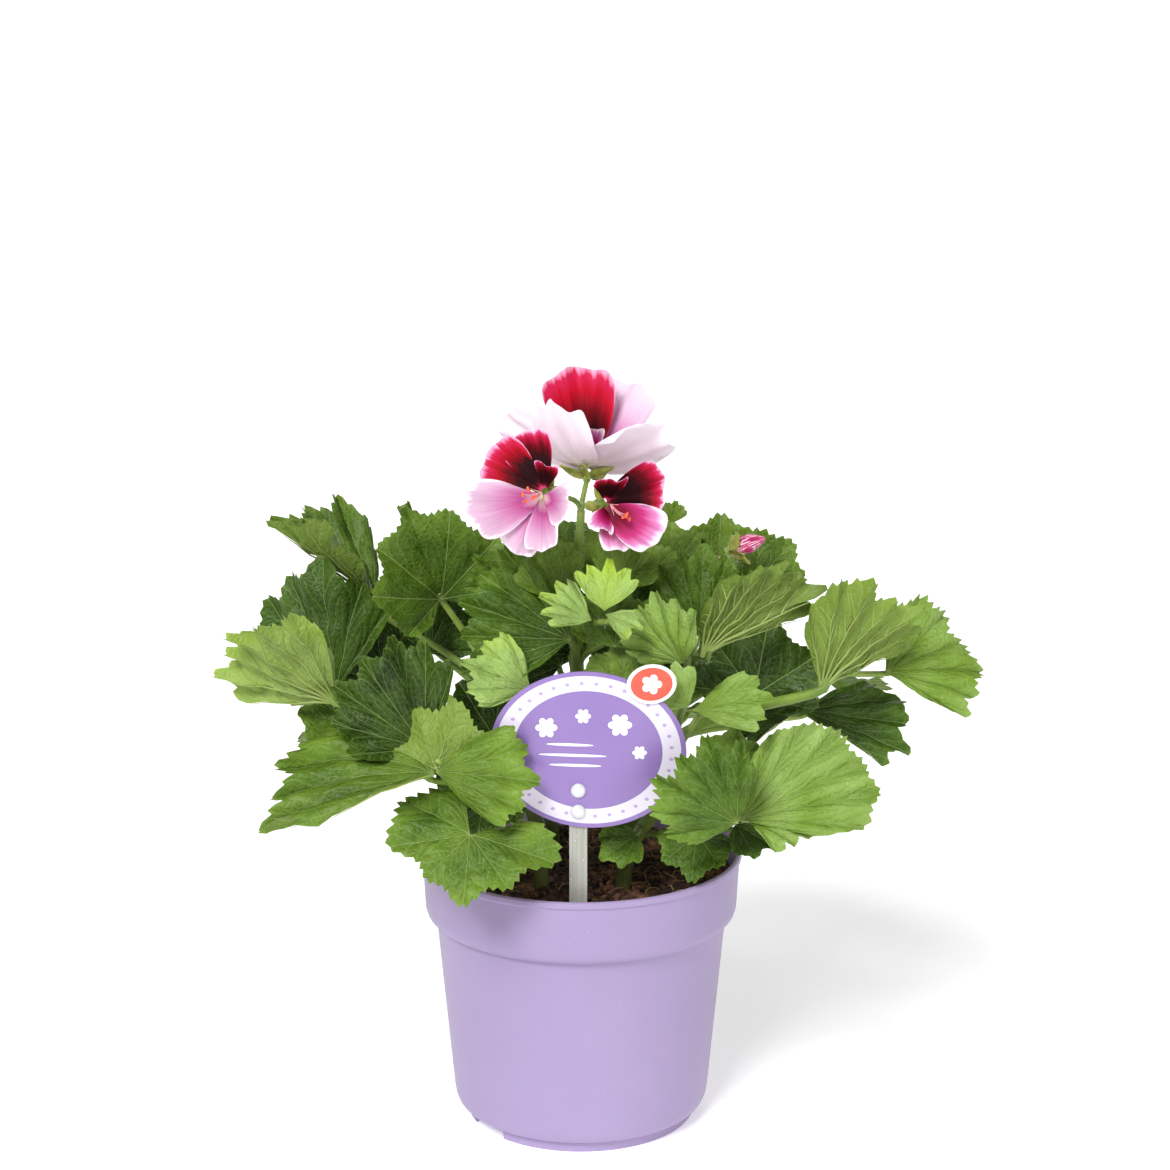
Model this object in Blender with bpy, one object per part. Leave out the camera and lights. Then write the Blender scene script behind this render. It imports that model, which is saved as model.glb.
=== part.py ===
"""Regal pelargonium in its lilac grower's pot.

Sizes are in millimetres and become metres as each mesh is made. +Z is up, the origin is the centre of the
pot's underside, and the photographed side looks along -Y.
"""

import math
import random

import bmesh
import bpy
from mathutils import Matrix, Vector, noise

MM = 0.001
SCALE = Matrix.Scale(MM, 4)
GAP = 0.35

# Pot
POT_HEIGHT = 112.0
RIM_RADIUS = 65.0
LIP = 1.9
COLLAR_BOTTOM = 85.0
COLLAR_FOOT_RADIUS = 63.2
BODY_TOP_RADIUS = 58.8
BODY_FOOT_RADIUS = 52.0
SHOULDER_HEIGHT = 11.0
FOOT_RADIUS = 46.4
FOOT_HEIGHT = 4.5
WALL = 1.3
FLOOR = 1.8
PAD_RADIUS = 9.0
POT_SIDES = 32
NOTCH_ANGLE = -54.5
NOTCH_WIDTH = 25.0
NOTCH_HEIGHT = 4.0
DRAIN_HOLES = 8
DRAIN_RADIUS = 3.6
DRAIN_CIRCLE = 33.0

# Soil
SOIL_LEVEL = 103.0
SOIL_LUMP = 1.7
SOIL_RINGS = (0.0, 13.0, 28.0, 43.0, 56.0)
SOIL_SIDES = 20
STEM_DEPTH = 22.0

# Care card and its stake
CARD_CENTRE = (2.9, -55.6, 170.6)
CARD_SIZE = (75.0, 62.0)
CARD_THICK = 0.8
CARD_TURN = 6.5
STAKE_X = -1.0
STAKE_WIDTH = 7.0
STAKE_THICK = 1.6
STAKE_FOOT = 66.0
STAKE_TOP = 160.0
RIVETS = (146.0, 154.5)
RIVET_RADIUS = 2.7
RIVET_PIN = 1.0
STICKER_CENTRE = (26.8, 197.0)
STICKER_SIZE = (19.0, 15.5)
STICKER_THICK = 0.7

# Leaves and petals
BLADE = 0.72
PETAL = 0.66
PETIOLE = 1.35
HUB_RADIUS = 1.9
ROOT_RADIUS = 0.95


def material(name, colour, roughness, metallic=0.0):
    made = bpy.data.materials.new(name)
    made.use_nodes = True
    shader = made.node_tree.nodes["Principled BSDF"]
    shader.inputs["Base Color"].default_value = (*colour, 1.0)
    shader.inputs["Roughness"].default_value = roughness
    shader.inputs["Metallic"].default_value = metallic
    made.diffuse_color = (*colour, 1.0)
    return made


def new_object(name, bm, paint=None):
    """A scene object from a bmesh drawn in millimetres."""
    bmesh.ops.transform(bm, matrix=SCALE, verts=bm.verts)
    mesh = bpy.data.meshes.new(name)
    bm.to_mesh(mesh)
    bm.free()
    made = bpy.data.objects.new(name, mesh)
    bpy.context.scene.collection.objects.link(made)
    if paint:
        mesh.materials.append(paint)
    return made


def hide(obj):
    obj.hide_render = True
    obj.display_type = "WIRE"
    return obj


def apply_modifiers(obj):
    graph = bpy.context.evaluated_depsgraph_get()
    mesh = bpy.data.meshes.new_from_object(obj.evaluated_get(graph))
    old = obj.data
    obj.modifiers.clear()
    obj.data = mesh
    mesh.name = obj.name
    bpy.data.meshes.remove(old)


def join_all(obj, others, solver="EXACT"):
    """One Boolean union of obj with every object of others, which are then removed."""
    group = bpy.data.collections.new(obj.name + "_parts")
    bpy.context.scene.collection.children.link(group)
    for other in others:
        bpy.context.scene.collection.objects.unlink(other)
        group.objects.link(other)
    union = obj.modifiers.new("join", "BOOLEAN")
    union.operation = "UNION"
    union.operand_type = "COLLECTION"
    union.collection = group
    union.solver = solver
    apply_modifiers(obj)
    for other in others:
        bpy.data.objects.remove(other)
    bpy.data.collections.remove(group)
    return obj


def cut(obj, cutter):
    hide(cutter)
    difference = obj.modifiers.new("cut " + cutter.name, "BOOLEAN")
    difference.operation = "DIFFERENCE"
    difference.object = cutter
    difference.solver = "EXACT"


def shade(obj, angle=40.0):
    obj.data.shade_smooth()
    obj.data.set_sharp_from_angle(angle=math.radians(angle))


def turned(name, profile, sides, paint=None):
    """A closed solid of revolution about Z from (radius, height) points, both ends on the axis."""
    bm = bmesh.new()
    ring = [bm.verts.new((radius, 0.0, height)) for radius, height in profile]
    edges = [bm.edges.new(pair) for pair in zip(ring, ring[1:])]
    bmesh.ops.spin(
        bm, geom=ring + edges, axis=(0, 0, 1), cent=(0, 0, 0), steps=sides, angle=math.tau, use_merge=True
    )
    bmesh.ops.remove_doubles(bm, verts=bm.verts, dist=0.001)
    bmesh.ops.recalc_face_normals(bm, faces=bm.faces)
    return new_object(name, bm, paint)


def cylinder(name, radius, low, high, at=(0.0, 0.0), sides=10):
    bm = bmesh.new()
    bmesh.ops.create_cone(
        bm, cap_ends=True, segments=sides, radius1=radius, radius2=radius, depth=high - low
    )
    bmesh.ops.translate(bm, vec=(at[0], at[1], (low + high) / 2), verts=bm.verts)
    return new_object(name, bm)


def box(name, low, high, turn=0.0):
    """A box between two corners, turned about the world's Z axis."""
    bm = bmesh.new()
    bmesh.ops.create_cube(bm, size=1.0)
    size = [b - a for a, b in zip(low, high)]
    middle = [(a + b) / 2 for a, b in zip(low, high)]
    bmesh.ops.scale(bm, vec=size, verts=bm.verts)
    bmesh.ops.translate(bm, vec=middle, verts=bm.verts)
    bmesh.ops.rotate(bm, cent=(0, 0, 0), matrix=turn_about_z(turn), verts=bm.verts)
    return new_object(name, bm)


def turn_about_z(degrees):
    return Matrix.Rotation(math.radians(degrees), 3, "Z")


def body_radius(height):
    """Outer radius of the pot's plain wall."""
    share = (height - SHOULDER_HEIGHT) / (COLLAR_BOTTOM - SHOULDER_HEIGHT)
    return BODY_FOOT_RADIUS + share * (BODY_TOP_RADIUS - BODY_FOOT_RADIUS)


def build_pot():
    inner_foot = FOOT_RADIUS - 1.6
    under = FOOT_HEIGHT - 0.5
    floor_top = FOOT_HEIGHT + FLOOR
    outside = [
        (0.0, 0.0),
        (PAD_RADIUS, 0.0),
        (PAD_RADIUS + 0.8, under),
        (inner_foot, under),
        (inner_foot + 0.2, 0.0),
        (FOOT_RADIUS, 0.0),
        (FOOT_RADIUS + 0.6, FOOT_HEIGHT),
        (BODY_FOOT_RADIUS - 2.0, FOOT_HEIGHT + 1.2),
        (BODY_FOOT_RADIUS, SHOULDER_HEIGHT),
        (BODY_TOP_RADIUS, COLLAR_BOTTOM),
        (COLLAR_FOOT_RADIUS - 1.4, COLLAR_BOTTOM + 0.8),
        (COLLAR_FOOT_RADIUS, COLLAR_BOTTOM + 5.0),
        (RIM_RADIUS - 0.8, POT_HEIGHT - 3.2),
        (RIM_RADIUS, POT_HEIGHT - 1.5),
        (RIM_RADIUS - 0.9, POT_HEIGHT),
    ]
    inside = [
        (RIM_RADIUS - LIP, POT_HEIGHT - 0.1),
        (RIM_RADIUS - LIP - 0.5, POT_HEIGHT - 1.0),
        (COLLAR_FOOT_RADIUS - WALL, COLLAR_BOTTOM + 6.0),
        (BODY_TOP_RADIUS - WALL, COLLAR_BOTTOM + 0.5),
        (BODY_FOOT_RADIUS - WALL, SHOULDER_HEIGHT + 1.5),
        (BODY_FOOT_RADIUS - WALL - 3.0, floor_top),
        (0.0, floor_top),
    ]
    pot = turned("pot", outside + inside, POT_SIDES, LILAC)
    for turn in (NOTCH_ANGLE, NOTCH_ANGLE + 180.0):
        half = FOOT_RADIUS * math.sin(math.radians(NOTCH_WIDTH / 2))
        low = (-half, -FOOT_RADIUS - 3.0, -1.0)
        high = (half, -FOOT_RADIUS + 4.0, NOTCH_HEIGHT - 0.6)
        cut(pot, box("foot_notch_cutter", low, high, turn))
    for index in range(DRAIN_HOLES):
        angle = math.tau * (index + 0.5) / DRAIN_HOLES
        at = (DRAIN_CIRCLE * math.cos(angle), DRAIN_CIRCLE * math.sin(angle))
        cut(pot, cylinder("drain_cutter", DRAIN_RADIUS, 0.5, floor_top + 2.0, at, 8))
    shade(pot)
    return pot


def build_soil(shoots):
    """Peat filling the pot, lumpy on top, with a plain hole for each shoot and a slot for the stake."""
    floor_top = FOOT_HEIGHT + FLOOR
    draw = random.Random(4)
    clear = WALL + GAP
    bm = bmesh.new()
    rows = []
    for radius in SOIL_RINGS:
        count = 1 if radius == 0.0 else SOIL_SIDES
        row = []
        for index in range(count):
            angle = math.tau * index / count
            rise = draw.uniform(-SOIL_LUMP, SOIL_LUMP)
            row.append(bm.verts.new((radius * math.cos(angle), radius * math.sin(angle), SOIL_LEVEL + rise)))
        rows.append(row)
    sides = (
        (61.9 - GAP, SOIL_LEVEL - 1.5),
        (COLLAR_FOOT_RADIUS - clear, COLLAR_BOTTOM + 6.6),
        (BODY_TOP_RADIUS - clear, COLLAR_BOTTOM + 0.9),
        (BODY_FOOT_RADIUS - clear, SHOULDER_HEIGHT + 1.8),
        (BODY_FOOT_RADIUS - clear - 3.0, floor_top + GAP),
    )
    angles = [math.tau * index / SOIL_SIDES for index in range(SOIL_SIDES)]
    for radius, height in sides:
        rows.append([bm.verts.new((radius * math.cos(a), radius * math.sin(a), height)) for a in angles])
    for index in range(SOIL_SIDES):
        after = (index + 1) % SOIL_SIDES
        bm.faces.new((rows[0][0], rows[1][index], rows[1][after]))
        for inner, outer in zip(rows[1:], rows[2:]):
            bm.faces.new((inner[index], outer[index], outer[after], inner[after]))
    bm.faces.new(list(reversed(rows[-1])))
    bmesh.ops.triangulate(bm, faces=bm.faces)
    bmesh.ops.recalc_face_normals(bm, faces=bm.faces)
    soil = new_object("soil", bm, PEAT)
    for shoot in shoots:
        x, y = shoot["foot"]
        bottom = SOIL_LEVEL - STEM_DEPTH - 1.0
        cut(soil, cylinder("stem_hole_cutter", shoot["radius"] + GAP, bottom, SOIL_LEVEL + 8.0, (x, y), 8))
    half = STAKE_WIDTH / 2 + GAP
    depth = CARD_CENTRE[1] + CARD_THICK / 2 + GAP
    slot = box(
        "stake_slot_cutter",
        (STAKE_X - half, depth - GAP, STAKE_FOOT - 1.0),
        (STAKE_X + half, depth + STAKE_THICK + GAP, SOIL_LEVEL + 8.0),
    )
    cut(soil, slot)
    return soil


def upright(bm, centre, turn=0.0):
    """Stands a flat shape drawn in XY up in the XZ plane, turned clockwise and moved to its centre."""
    bmesh.ops.rotate(bm, cent=(0, 0, 0), matrix=Matrix.Rotation(math.radians(-turn), 3, "Z"), verts=bm.verts)
    bmesh.ops.rotate(bm, cent=(0, 0, 0), matrix=Matrix.Rotation(math.radians(90), 3, "X"), verts=bm.verts)
    bmesh.ops.translate(bm, vec=centre, verts=bm.verts)


def oval_plate(name, size, thick, centre, turn, sides, paint=None):
    bm = bmesh.new()
    bmesh.ops.create_cone(bm, cap_ends=True, segments=sides, radius1=0.5, radius2=0.5, depth=thick)
    bmesh.ops.scale(bm, vec=(size[0], size[1], 1.0), verts=bm.verts)
    upright(bm, centre, turn)
    return new_object(name, bm, paint)


def build_card():
    card = oval_plate("tag_card", CARD_SIZE, CARD_THICK, CARD_CENTRE, CARD_TURN, 32, CARD_PAINT)
    for height in RIVETS:
        hole = oval_plate(
            "rivet_hole_cutter",
            (2 * (RIVET_PIN + GAP), 2 * (RIVET_PIN + GAP)),
            8.0,
            (STAKE_X, CARD_CENTRE[1], height),
            0.0,
            8,
        )
        cut(card, hole)
    return card


def build_stake():
    back = CARD_CENTRE[1] + CARD_THICK / 2 + GAP
    front = CARD_CENTRE[1] - CARD_THICK / 2 - GAP
    half = STAKE_WIDTH / 2
    low = (STAKE_X - half, back, STAKE_FOOT)
    high = (STAKE_X + half, back + STAKE_THICK, STAKE_TOP)
    stake = box("tag_stake", low, high)
    stake.data.materials.append(CLEAR_PLASTIC)
    pieces = []
    for height in RIVETS:
        reach = back + 0.8 - (front - 0.8)
        middle = (front - 0.8 + back + 0.8) / 2
        pin = oval_plate("pin", (2 * RIVET_PIN, 2 * RIVET_PIN), reach, (STAKE_X, middle, height), 0.0, 6)
        bm = bmesh.new()
        bmesh.ops.create_uvsphere(bm, u_segments=8, v_segments=6, radius=RIVET_RADIUS)
        everything = bm.verts[:] + bm.edges[:] + bm.faces[:]
        bmesh.ops.bisect_plane(bm, geom=everything, plane_co=(0, 0, 0), plane_no=(0, 1, 0), clear_outer=True)
        bmesh.ops.holes_fill(bm, edges=[edge for edge in bm.edges if edge.is_boundary])
        bmesh.ops.scale(bm, vec=(1.0, 0.55, 1.0), verts=bm.verts)
        bmesh.ops.translate(bm, vec=(STAKE_X, front, height), verts=bm.verts)
        bmesh.ops.recalc_face_normals(bm, faces=bm.faces)
        pieces += [pin, new_object("head", bm)]
    return join_all(stake, pieces)


def build_sticker():
    front = CARD_CENTRE[1] - CARD_THICK / 2 - GAP - STICKER_THICK / 2
    centre = (STICKER_CENTRE[0], front, STICKER_CENTRE[1])
    return oval_plate("tag_sticker", STICKER_SIZE, STICKER_THICK, centre, -8.0, 20, RED)


def wave(turns):
    """A triangle wave from -1 to 1 with a period of 1."""
    share = turns - math.floor(turns)
    return 1.0 - 4.0 * abs(share - 0.5)


def leaf(at, tip, face, **shape):
    """One blade: the point its veins meet at, where its middle tip lies, and the way its upper side looks.

    spread  degrees of blade left and right of the middle vein
    fold    degrees each half is folded up along the middle vein
    sides   degrees each half bends up by its edge, as a round curve
    droop   degrees the blade bends down from its base to its tip
    cup     degrees every vein rises from the flat, as in a funnel
    belly   how much wider the blade spreads near its base than at its edge
    base    how much shorter the outermost veins are, and round how much the corners beside them are cut
    The lobe, part, tooth, pleat and ruffle depths are shares of the length.
    """
    kept = dict(
        at=Vector(at), tip=Vector(tip), face=Vector(face), spread=(130, 130), lobes=7, lobe=0.065,
        tooth=0.045, parts=3, part=0.045, base=0.2, round=0.45, cup=0, belly=0.0, fold=(8, 8), sides=(0, 0),
        droop=12, pleat=0.035, ruffle=0.05, curl=0.0, phase=at[0] * 0.37 + at[2] * 0.11, grows=0.6,
        stalk=PETIOLE,
    )
    kept.update(shape)
    return kept


def blade_point(shape, out, angle):
    """The blade a share `out` of the way to its edge, `angle` round from its middle vein."""
    length = shape["tip"].length
    left, right = (math.radians(value) for value in shape["spread"])
    side = abs(angle) / (left if angle >= 0 else right)
    step = (left + right) / shape["lobes"]
    edge = shape["lobe"] * math.cos(math.tau * angle / step)
    edge += shape["part"] * math.cos(math.tau * angle * shape["parts"] / (left + right))
    edge += 0.06 * noise.noise((angle * 1.7, shape["phase"], 4.1))
    tooth = shape["tooth"] * wave(angle * 1.5 / step)
    reach = length * (1 - shape["base"] * side**2.2) * (1 - shape["round"] * side**7)
    reach *= (1 + edge * out**3 + tooth * out**10) * out
    rise = math.radians(shape["cup"])
    spin = angle * (1 + shape["belly"] * (1 - out))
    x = reach * math.cos(rise) * math.cos(spin)
    y = reach * math.cos(rise) * math.sin(spin)
    z = reach * math.sin(rise)
    ridge = abs(math.sin(math.pi * angle / step)) ** 0.8
    z += shape["pleat"] * length * out**1.2 * (2 * ridge - 1.1) * (0.35 + 0.65 * out)
    swell = math.sin(3.1 * angle + shape["phase"]) + 0.6 * math.sin(6.7 * angle + 2.3 * shape["phase"] + 1)
    z += shape["ruffle"] * length * out**3 * swell + shape["curl"] * length * out**2
    half = 0 if angle >= 0 else 1
    sign = 1 if angle >= 0 else -1
    fold = math.radians(shape["fold"][half])
    y, z = y * math.cos(fold) - sign * z * math.sin(fold), abs(y) * math.sin(fold) + z * math.cos(fold)
    bend = math.radians(shape["sides"][half]) or 0.001
    turn = bend * abs(y) / length
    y, z = sign * (length / bend - z) * math.sin(turn), length / bend - (length / bend - z) * math.cos(turn)
    bend = math.radians(shape["droop"]) or 0.001
    turn = bend * x / length
    x, z = (length / bend + z) * math.sin(turn), (length / bend + z) * math.cos(turn) - length / bend
    return x, y, z


def blade_axes(shape):
    along = shape["tip"].normalized()
    up = (shape["face"] - along * shape["face"].dot(along)).normalized()
    return along, up.cross(along), up


def blade_bmesh(shape, edge_steps, ring_steps, rings):
    """The blade as one sheet: a fan at the vein junction, rings, then an outer ring with the teeth."""
    along, across, up = blade_axes(shape)
    left, right = (math.radians(value) for value in shape["spread"])
    bm = bmesh.new()

    def vert(out, share):
        x, y, z = blade_point(shape, out, (left + right) * share - right)
        return bm.verts.new(shape["at"] + along * x + across * y + up * z)

    centre = bm.verts.new(shape["at"])
    rows = [[vert(out, i / ring_steps) for i in range(ring_steps + 1)] for out in rings]
    rim = [vert(1.0, i / edge_steps) for i in range(edge_steps + 1)]
    first_row = rows[0] if rows else rim
    for first, second in zip(first_row, first_row[1:]):
        bm.faces.new((centre, first, second))
    if not rows:
        return bm
    for inner, outer in zip(rows, rows[1:]):
        for i in range(ring_steps):
            bm.faces.new((inner[i], outer[i], outer[i + 1]))
            bm.faces.new((inner[i], outer[i + 1], inner[i + 1]))
    ratio = edge_steps // ring_steps
    last = rows[-1]
    for i in range(ring_steps):
        for j in range(ratio):
            holder = last[i] if j < (ratio + 1) // 2 else last[i + 1]
            bm.faces.new((holder, rim[i * ratio + j], rim[i * ratio + j + 1]))
        middle = rim[i * ratio + (ratio + 1) // 2]
        bm.faces.new((last[i], middle, last[i + 1]))
    return bm


def blade_object(name, shape, thick, edge_steps, ring_steps, rings=(0.5,)):
    sheet = new_object(name, blade_bmesh(shape, edge_steps, ring_steps, rings))
    solidify = sheet.modifiers.new("thickness", "SOLIDIFY")
    solidify.thickness = thick * MM
    solidify.offset = 0.0
    solidify.use_rim = True
    solidify.use_even_offset = False
    return sheet


def bezier(points, steps):
    a, b, c, d = (Vector(point) for point in points)
    made = []
    for index in range(steps + 1):
        t = index / steps
        u = 1 - t
        made.append(a * u**3 + b * (3 * u * u * t) + c * (3 * u * t * t) + d * t**3)
    return made


def tube_object(name, path, radii, sides):
    """A closed round bar along a path, with its radius running between two values."""
    bm = bmesh.new()
    rows = []
    across = None
    for index, point in enumerate(path):
        ahead = (path[min(index + 1, len(path) - 1)] - path[max(index - 1, 0)]).normalized()
        seed = across or (Vector((1, 0, 0)) if abs(ahead.x) < 0.8 else Vector((0, 1, 0)))
        across = (seed - ahead * seed.dot(ahead)).normalized()
        other = ahead.cross(across)
        share = index / (len(path) - 1)
        radius = radii[0] + (radii[1] - radii[0]) * share
        turns = [math.tau * i / sides for i in range(sides)]
        ring = [radius * (math.cos(turn) * across + math.sin(turn) * other) for turn in turns]
        rows.append([bm.verts.new(point + offset) for offset in ring])
    for low, high in zip(rows, rows[1:]):
        for i in range(sides):
            after = (i + 1) % sides
            bm.faces.new((low[i], low[after], high[after], high[i]))
    bm.faces.new(list(reversed(rows[0])))
    bm.faces.new(rows[-1])
    bmesh.ops.triangulate(bm, faces=bm.faces)
    return new_object(name, bm)


def shoot_path(shoot):
    x, y = shoot["foot"]
    foot = Vector((x, y, SOIL_LEVEL - STEM_DEPTH))
    soil = Vector((x, y, SOIL_LEVEL + 4.0))
    top = Vector(shoot["top"])
    return [foot] + bezier((soil, soil + Vector((0, 0, 18)), top - Vector((0, 0, 16)), top), 4)


def point_on(path, share):
    """A point a share of the way up the part of the path above the soil."""
    place = 1 + share * (len(path) - 2)
    low = min(int(place), len(path) - 2)
    return path[low].lerp(path[low + 1], place - low)


def petiole_path(start, shape):
    """Leaves the shoot rising, and reaches the blade from underneath along its middle vein."""
    along, _, up = blade_axes(shape)
    x, _, z = blade_point(shape, 3.4 / shape["tip"].length, 0.0)
    end = shape["at"] + along * x + up * z
    span = (end - start).length
    arrive = (along * 0.3 + up * 0.95).normalized()
    lift = Vector((0, 0, 1)) * 0.3 + (end - start).normalized() * 0.12
    return bezier((start, start + lift * span, end - arrive * min(span * 0.33, 11.0), end), 3)


def build_shoot(name, shoot):
    """A leafy shoot: stem, petioles and blades, fused."""
    path = shoot_path(shoot)
    radius = shoot["radius"]
    stem = tube_object(name, path, (radius, radius * 0.72), 6)
    stem.data.materials.append(LEAF_GREEN)
    pieces = []
    for key, shape in shoot["leaves"].items():
        if shape["grows"] is not None:
            start = point_on(path, shape["grows"])
            radii = (shape["stalk"] * 1.15, shape["stalk"] * 0.75)
            pieces.append(tube_object(key + "_stalk", petiole_path(start, shape), radii, 3))
        steps = shape["lobes"] * 3
        rings = (0.5,) if shape["lobes"] > 5 else ()
        pieces.append(blade_object(key, shape, BLADE, steps, shape["lobes"], rings))
    return join_all(stem, pieces)


def petal(tip, face, **shape):
    """A petal that starts at its bloom's hub, which is filled in later."""
    kept = dict(
        lobes=1, lobe=0.0, tooth=0.01, part=0.0, base=0.12, round=0.3, fold=(0, 0), pleat=0.0, ruffle=0.05,
        droop=0, belly=0.4, phase=tip[0] * 0.2, spread=(38, 38),
    )
    kept.update(shape)
    return leaf((0, 0, 0), tip, face, **kept)


def bloom_seats(bloom):
    """Where a bloom's pieces sit, just clear of each other: two hubs, the stamens' root and the calyx cup."""
    axis = Vector(bloom["axis"]).normalized()
    side = Vector(bloom["side"])
    side = (side - axis * side.dot(axis)).normalized()
    hub = Vector(bloom["hub"])
    half = HUB_RADIUS + GAP / 2
    reach = HUB_RADIUS + ROOT_RADIUS + GAP
    root = hub + axis * math.sqrt(reach**2 - half**2)
    return hub + side * half, hub - side * half, root, hub - axis * (HUB_RADIUS + GAP)


def build_petals(name, petals, hub, paint):
    """Petals that meet at a small common base."""
    bm = bmesh.new()
    bmesh.ops.create_icosphere(bm, subdivisions=1, radius=HUB_RADIUS)
    bmesh.ops.translate(bm, vec=hub, verts=bm.verts)
    base = new_object(name, bm, paint)
    pieces = []
    for index, shape in enumerate(petals):
        placed = dict(shape, at=Vector(hub))
        pieces.append(blade_object(name + str(index), placed, PETAL, 8, 4, (0.55,)))
    return join_all(base, pieces)


def clear_scene():
    for obj in list(bpy.data.objects):
        bpy.data.objects.remove(obj)


def build_stamens(name, root, tips, paint):
    """Thin filaments from one root, each with an anther."""
    bm = bmesh.new()
    bmesh.ops.create_icosphere(bm, subdivisions=1, radius=ROOT_RADIUS)
    bmesh.ops.translate(bm, vec=root, verts=bm.verts)
    base = new_object(name, bm, paint)
    pieces = []
    for tip in tips:
        start, end = Vector(root), Vector(root) + Vector(tip)
        middle = (start + end) / 2 + Vector((0, 0, -1.2))
        pieces.append(tube_object("filament", bezier((start, middle, middle, end), 2), (0.55, 0.45), 3))
        bm = bmesh.new()
        bmesh.ops.create_cube(bm, size=1.7)
        bmesh.ops.rotate(bm, cent=(0, 0, 0), matrix=Matrix.Rotation(0.7, 3, "X"), verts=bm.verts)
        bmesh.ops.translate(bm, vec=end, verts=bm.verts)
        pieces.append(new_object("anther", bm))
    return join_all(base, pieces)


def spike(name, at, tip, radius):
    """A narrow four-sided point."""
    tip = Vector(tip)
    bm = bmesh.new()
    bmesh.ops.create_cone(bm, cap_ends=True, segments=4, radius1=radius, radius2=0.0, depth=tip.length)
    bmesh.ops.translate(bm, vec=(0, 0, tip.length / 2), verts=bm.verts)
    turn = Vector((0, 0, 1)).rotation_difference(tip.normalized()).to_matrix()
    bmesh.ops.rotate(bm, cent=(0, 0, 0), matrix=turn, verts=bm.verts)
    bmesh.ops.translate(bm, vec=at, verts=bm.verts)
    return new_object(name, bm)


def calyx(centre, axis, length, lean):
    """A short cup with five narrow sepals round an axis, leaning forward along it by `lean`."""
    axis = Vector(axis).normalized()
    side = axis.orthogonal().normalized()
    foot = Vector(centre) - axis * 3.0
    pieces = [tube_object("cup", [foot, Vector(centre)], (1.2, 2.1), 6)]
    for index in range(5):
        out = Matrix.Rotation(math.tau * index / 5, 3, axis) @ side
        tip = (axis * lean + out).normalized() * length
        pieces.append(spike("sepal", Vector(centre) - axis * 1.6 + out * 0.6, tip, 1.5))
    return pieces


def stalk(start, end, radius=0.95, lift=0.3):
    start, end = Vector(start), Vector(end)
    span = (end - start).length
    rise = Vector((0, 0, lift * span))
    path = bezier((start, start + rise, end.lerp(start, 0.35), end), 3)
    return tube_object("stalk", path, (radius * 1.1, radius), 4)


def build_truss(name, path_ends, umbel, calyxes, width):
    """The stalk of a flower head: one peduncle, then a pedicel and calyx for each flower."""
    low, high = (Vector(point) for point in path_ends)
    lean = Vector((0, 0, (high - low).length * 0.35))
    main = tube_object(name, bezier((low, low + lean, high - lean * 0.6, high), 4), (width, width * 0.8), 6)
    main.data.materials.append(STALK_GREEN)
    pieces = []
    for centre, axis, length, lean in calyxes:
        axis = Vector(axis).normalized()
        pieces.append(stalk(umbel, Vector(centre) - axis * 2.4))
        pieces += calyx(centre, axis, length, lean)
    return join_all(main, pieces)


def build_bud(name, base, axis, length, width, paint):
    """The closed petals of a bud: a pointed egg."""
    axis = Vector(axis).normalized()
    turn = Vector((0, 0, 1)).rotation_difference(axis).to_matrix()
    bm = bmesh.new()
    bmesh.ops.create_uvsphere(bm, u_segments=7, v_segments=5, radius=0.5)
    for vert in bm.verts:
        taper = 1.0 - 0.45 * max(0.0, vert.co.z * 2)
        wide = width * taper
        vert.co = Vector((vert.co.x * wide, vert.co.y * wide, (vert.co.z + 0.5) * length))
    bmesh.ops.rotate(bm, cent=(0, 0, 0), matrix=turn, verts=bm.verts)
    bmesh.ops.translate(bm, vec=Vector(base) + axis * GAP, verts=bm.verts)
    return new_object(name, bm, paint)


clear_scene()

LILAC = material("lilac_plastic", (0.55, 0.43, 0.68), 0.45)
PEAT = material("peat", (0.045, 0.022, 0.012), 0.95)
CARD_PAINT = material("card", (0.40, 0.28, 0.56), 0.35)
CLEAR_PLASTIC = material("clear_plastic", (0.75, 0.77, 0.72), 0.25)
RED = material("red_label", (0.85, 0.16, 0.09), 0.4)
LEAF_GREEN = material("leaf_green", (0.10, 0.27, 0.035), 0.5)
STALK_GREEN = material("stalk_green", (0.30, 0.42, 0.10), 0.5)
BURGUNDY = material("upper_petal", (0.45, 0.01, 0.04), 0.55)
PINK = material("lower_petal", (0.80, 0.42, 0.65), 0.55)
ORANGE = material("stamen", (0.80, 0.12, 0.04), 0.5)
BUD_PINK = material("bud", (0.62, 0.05, 0.20), 0.5)

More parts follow.
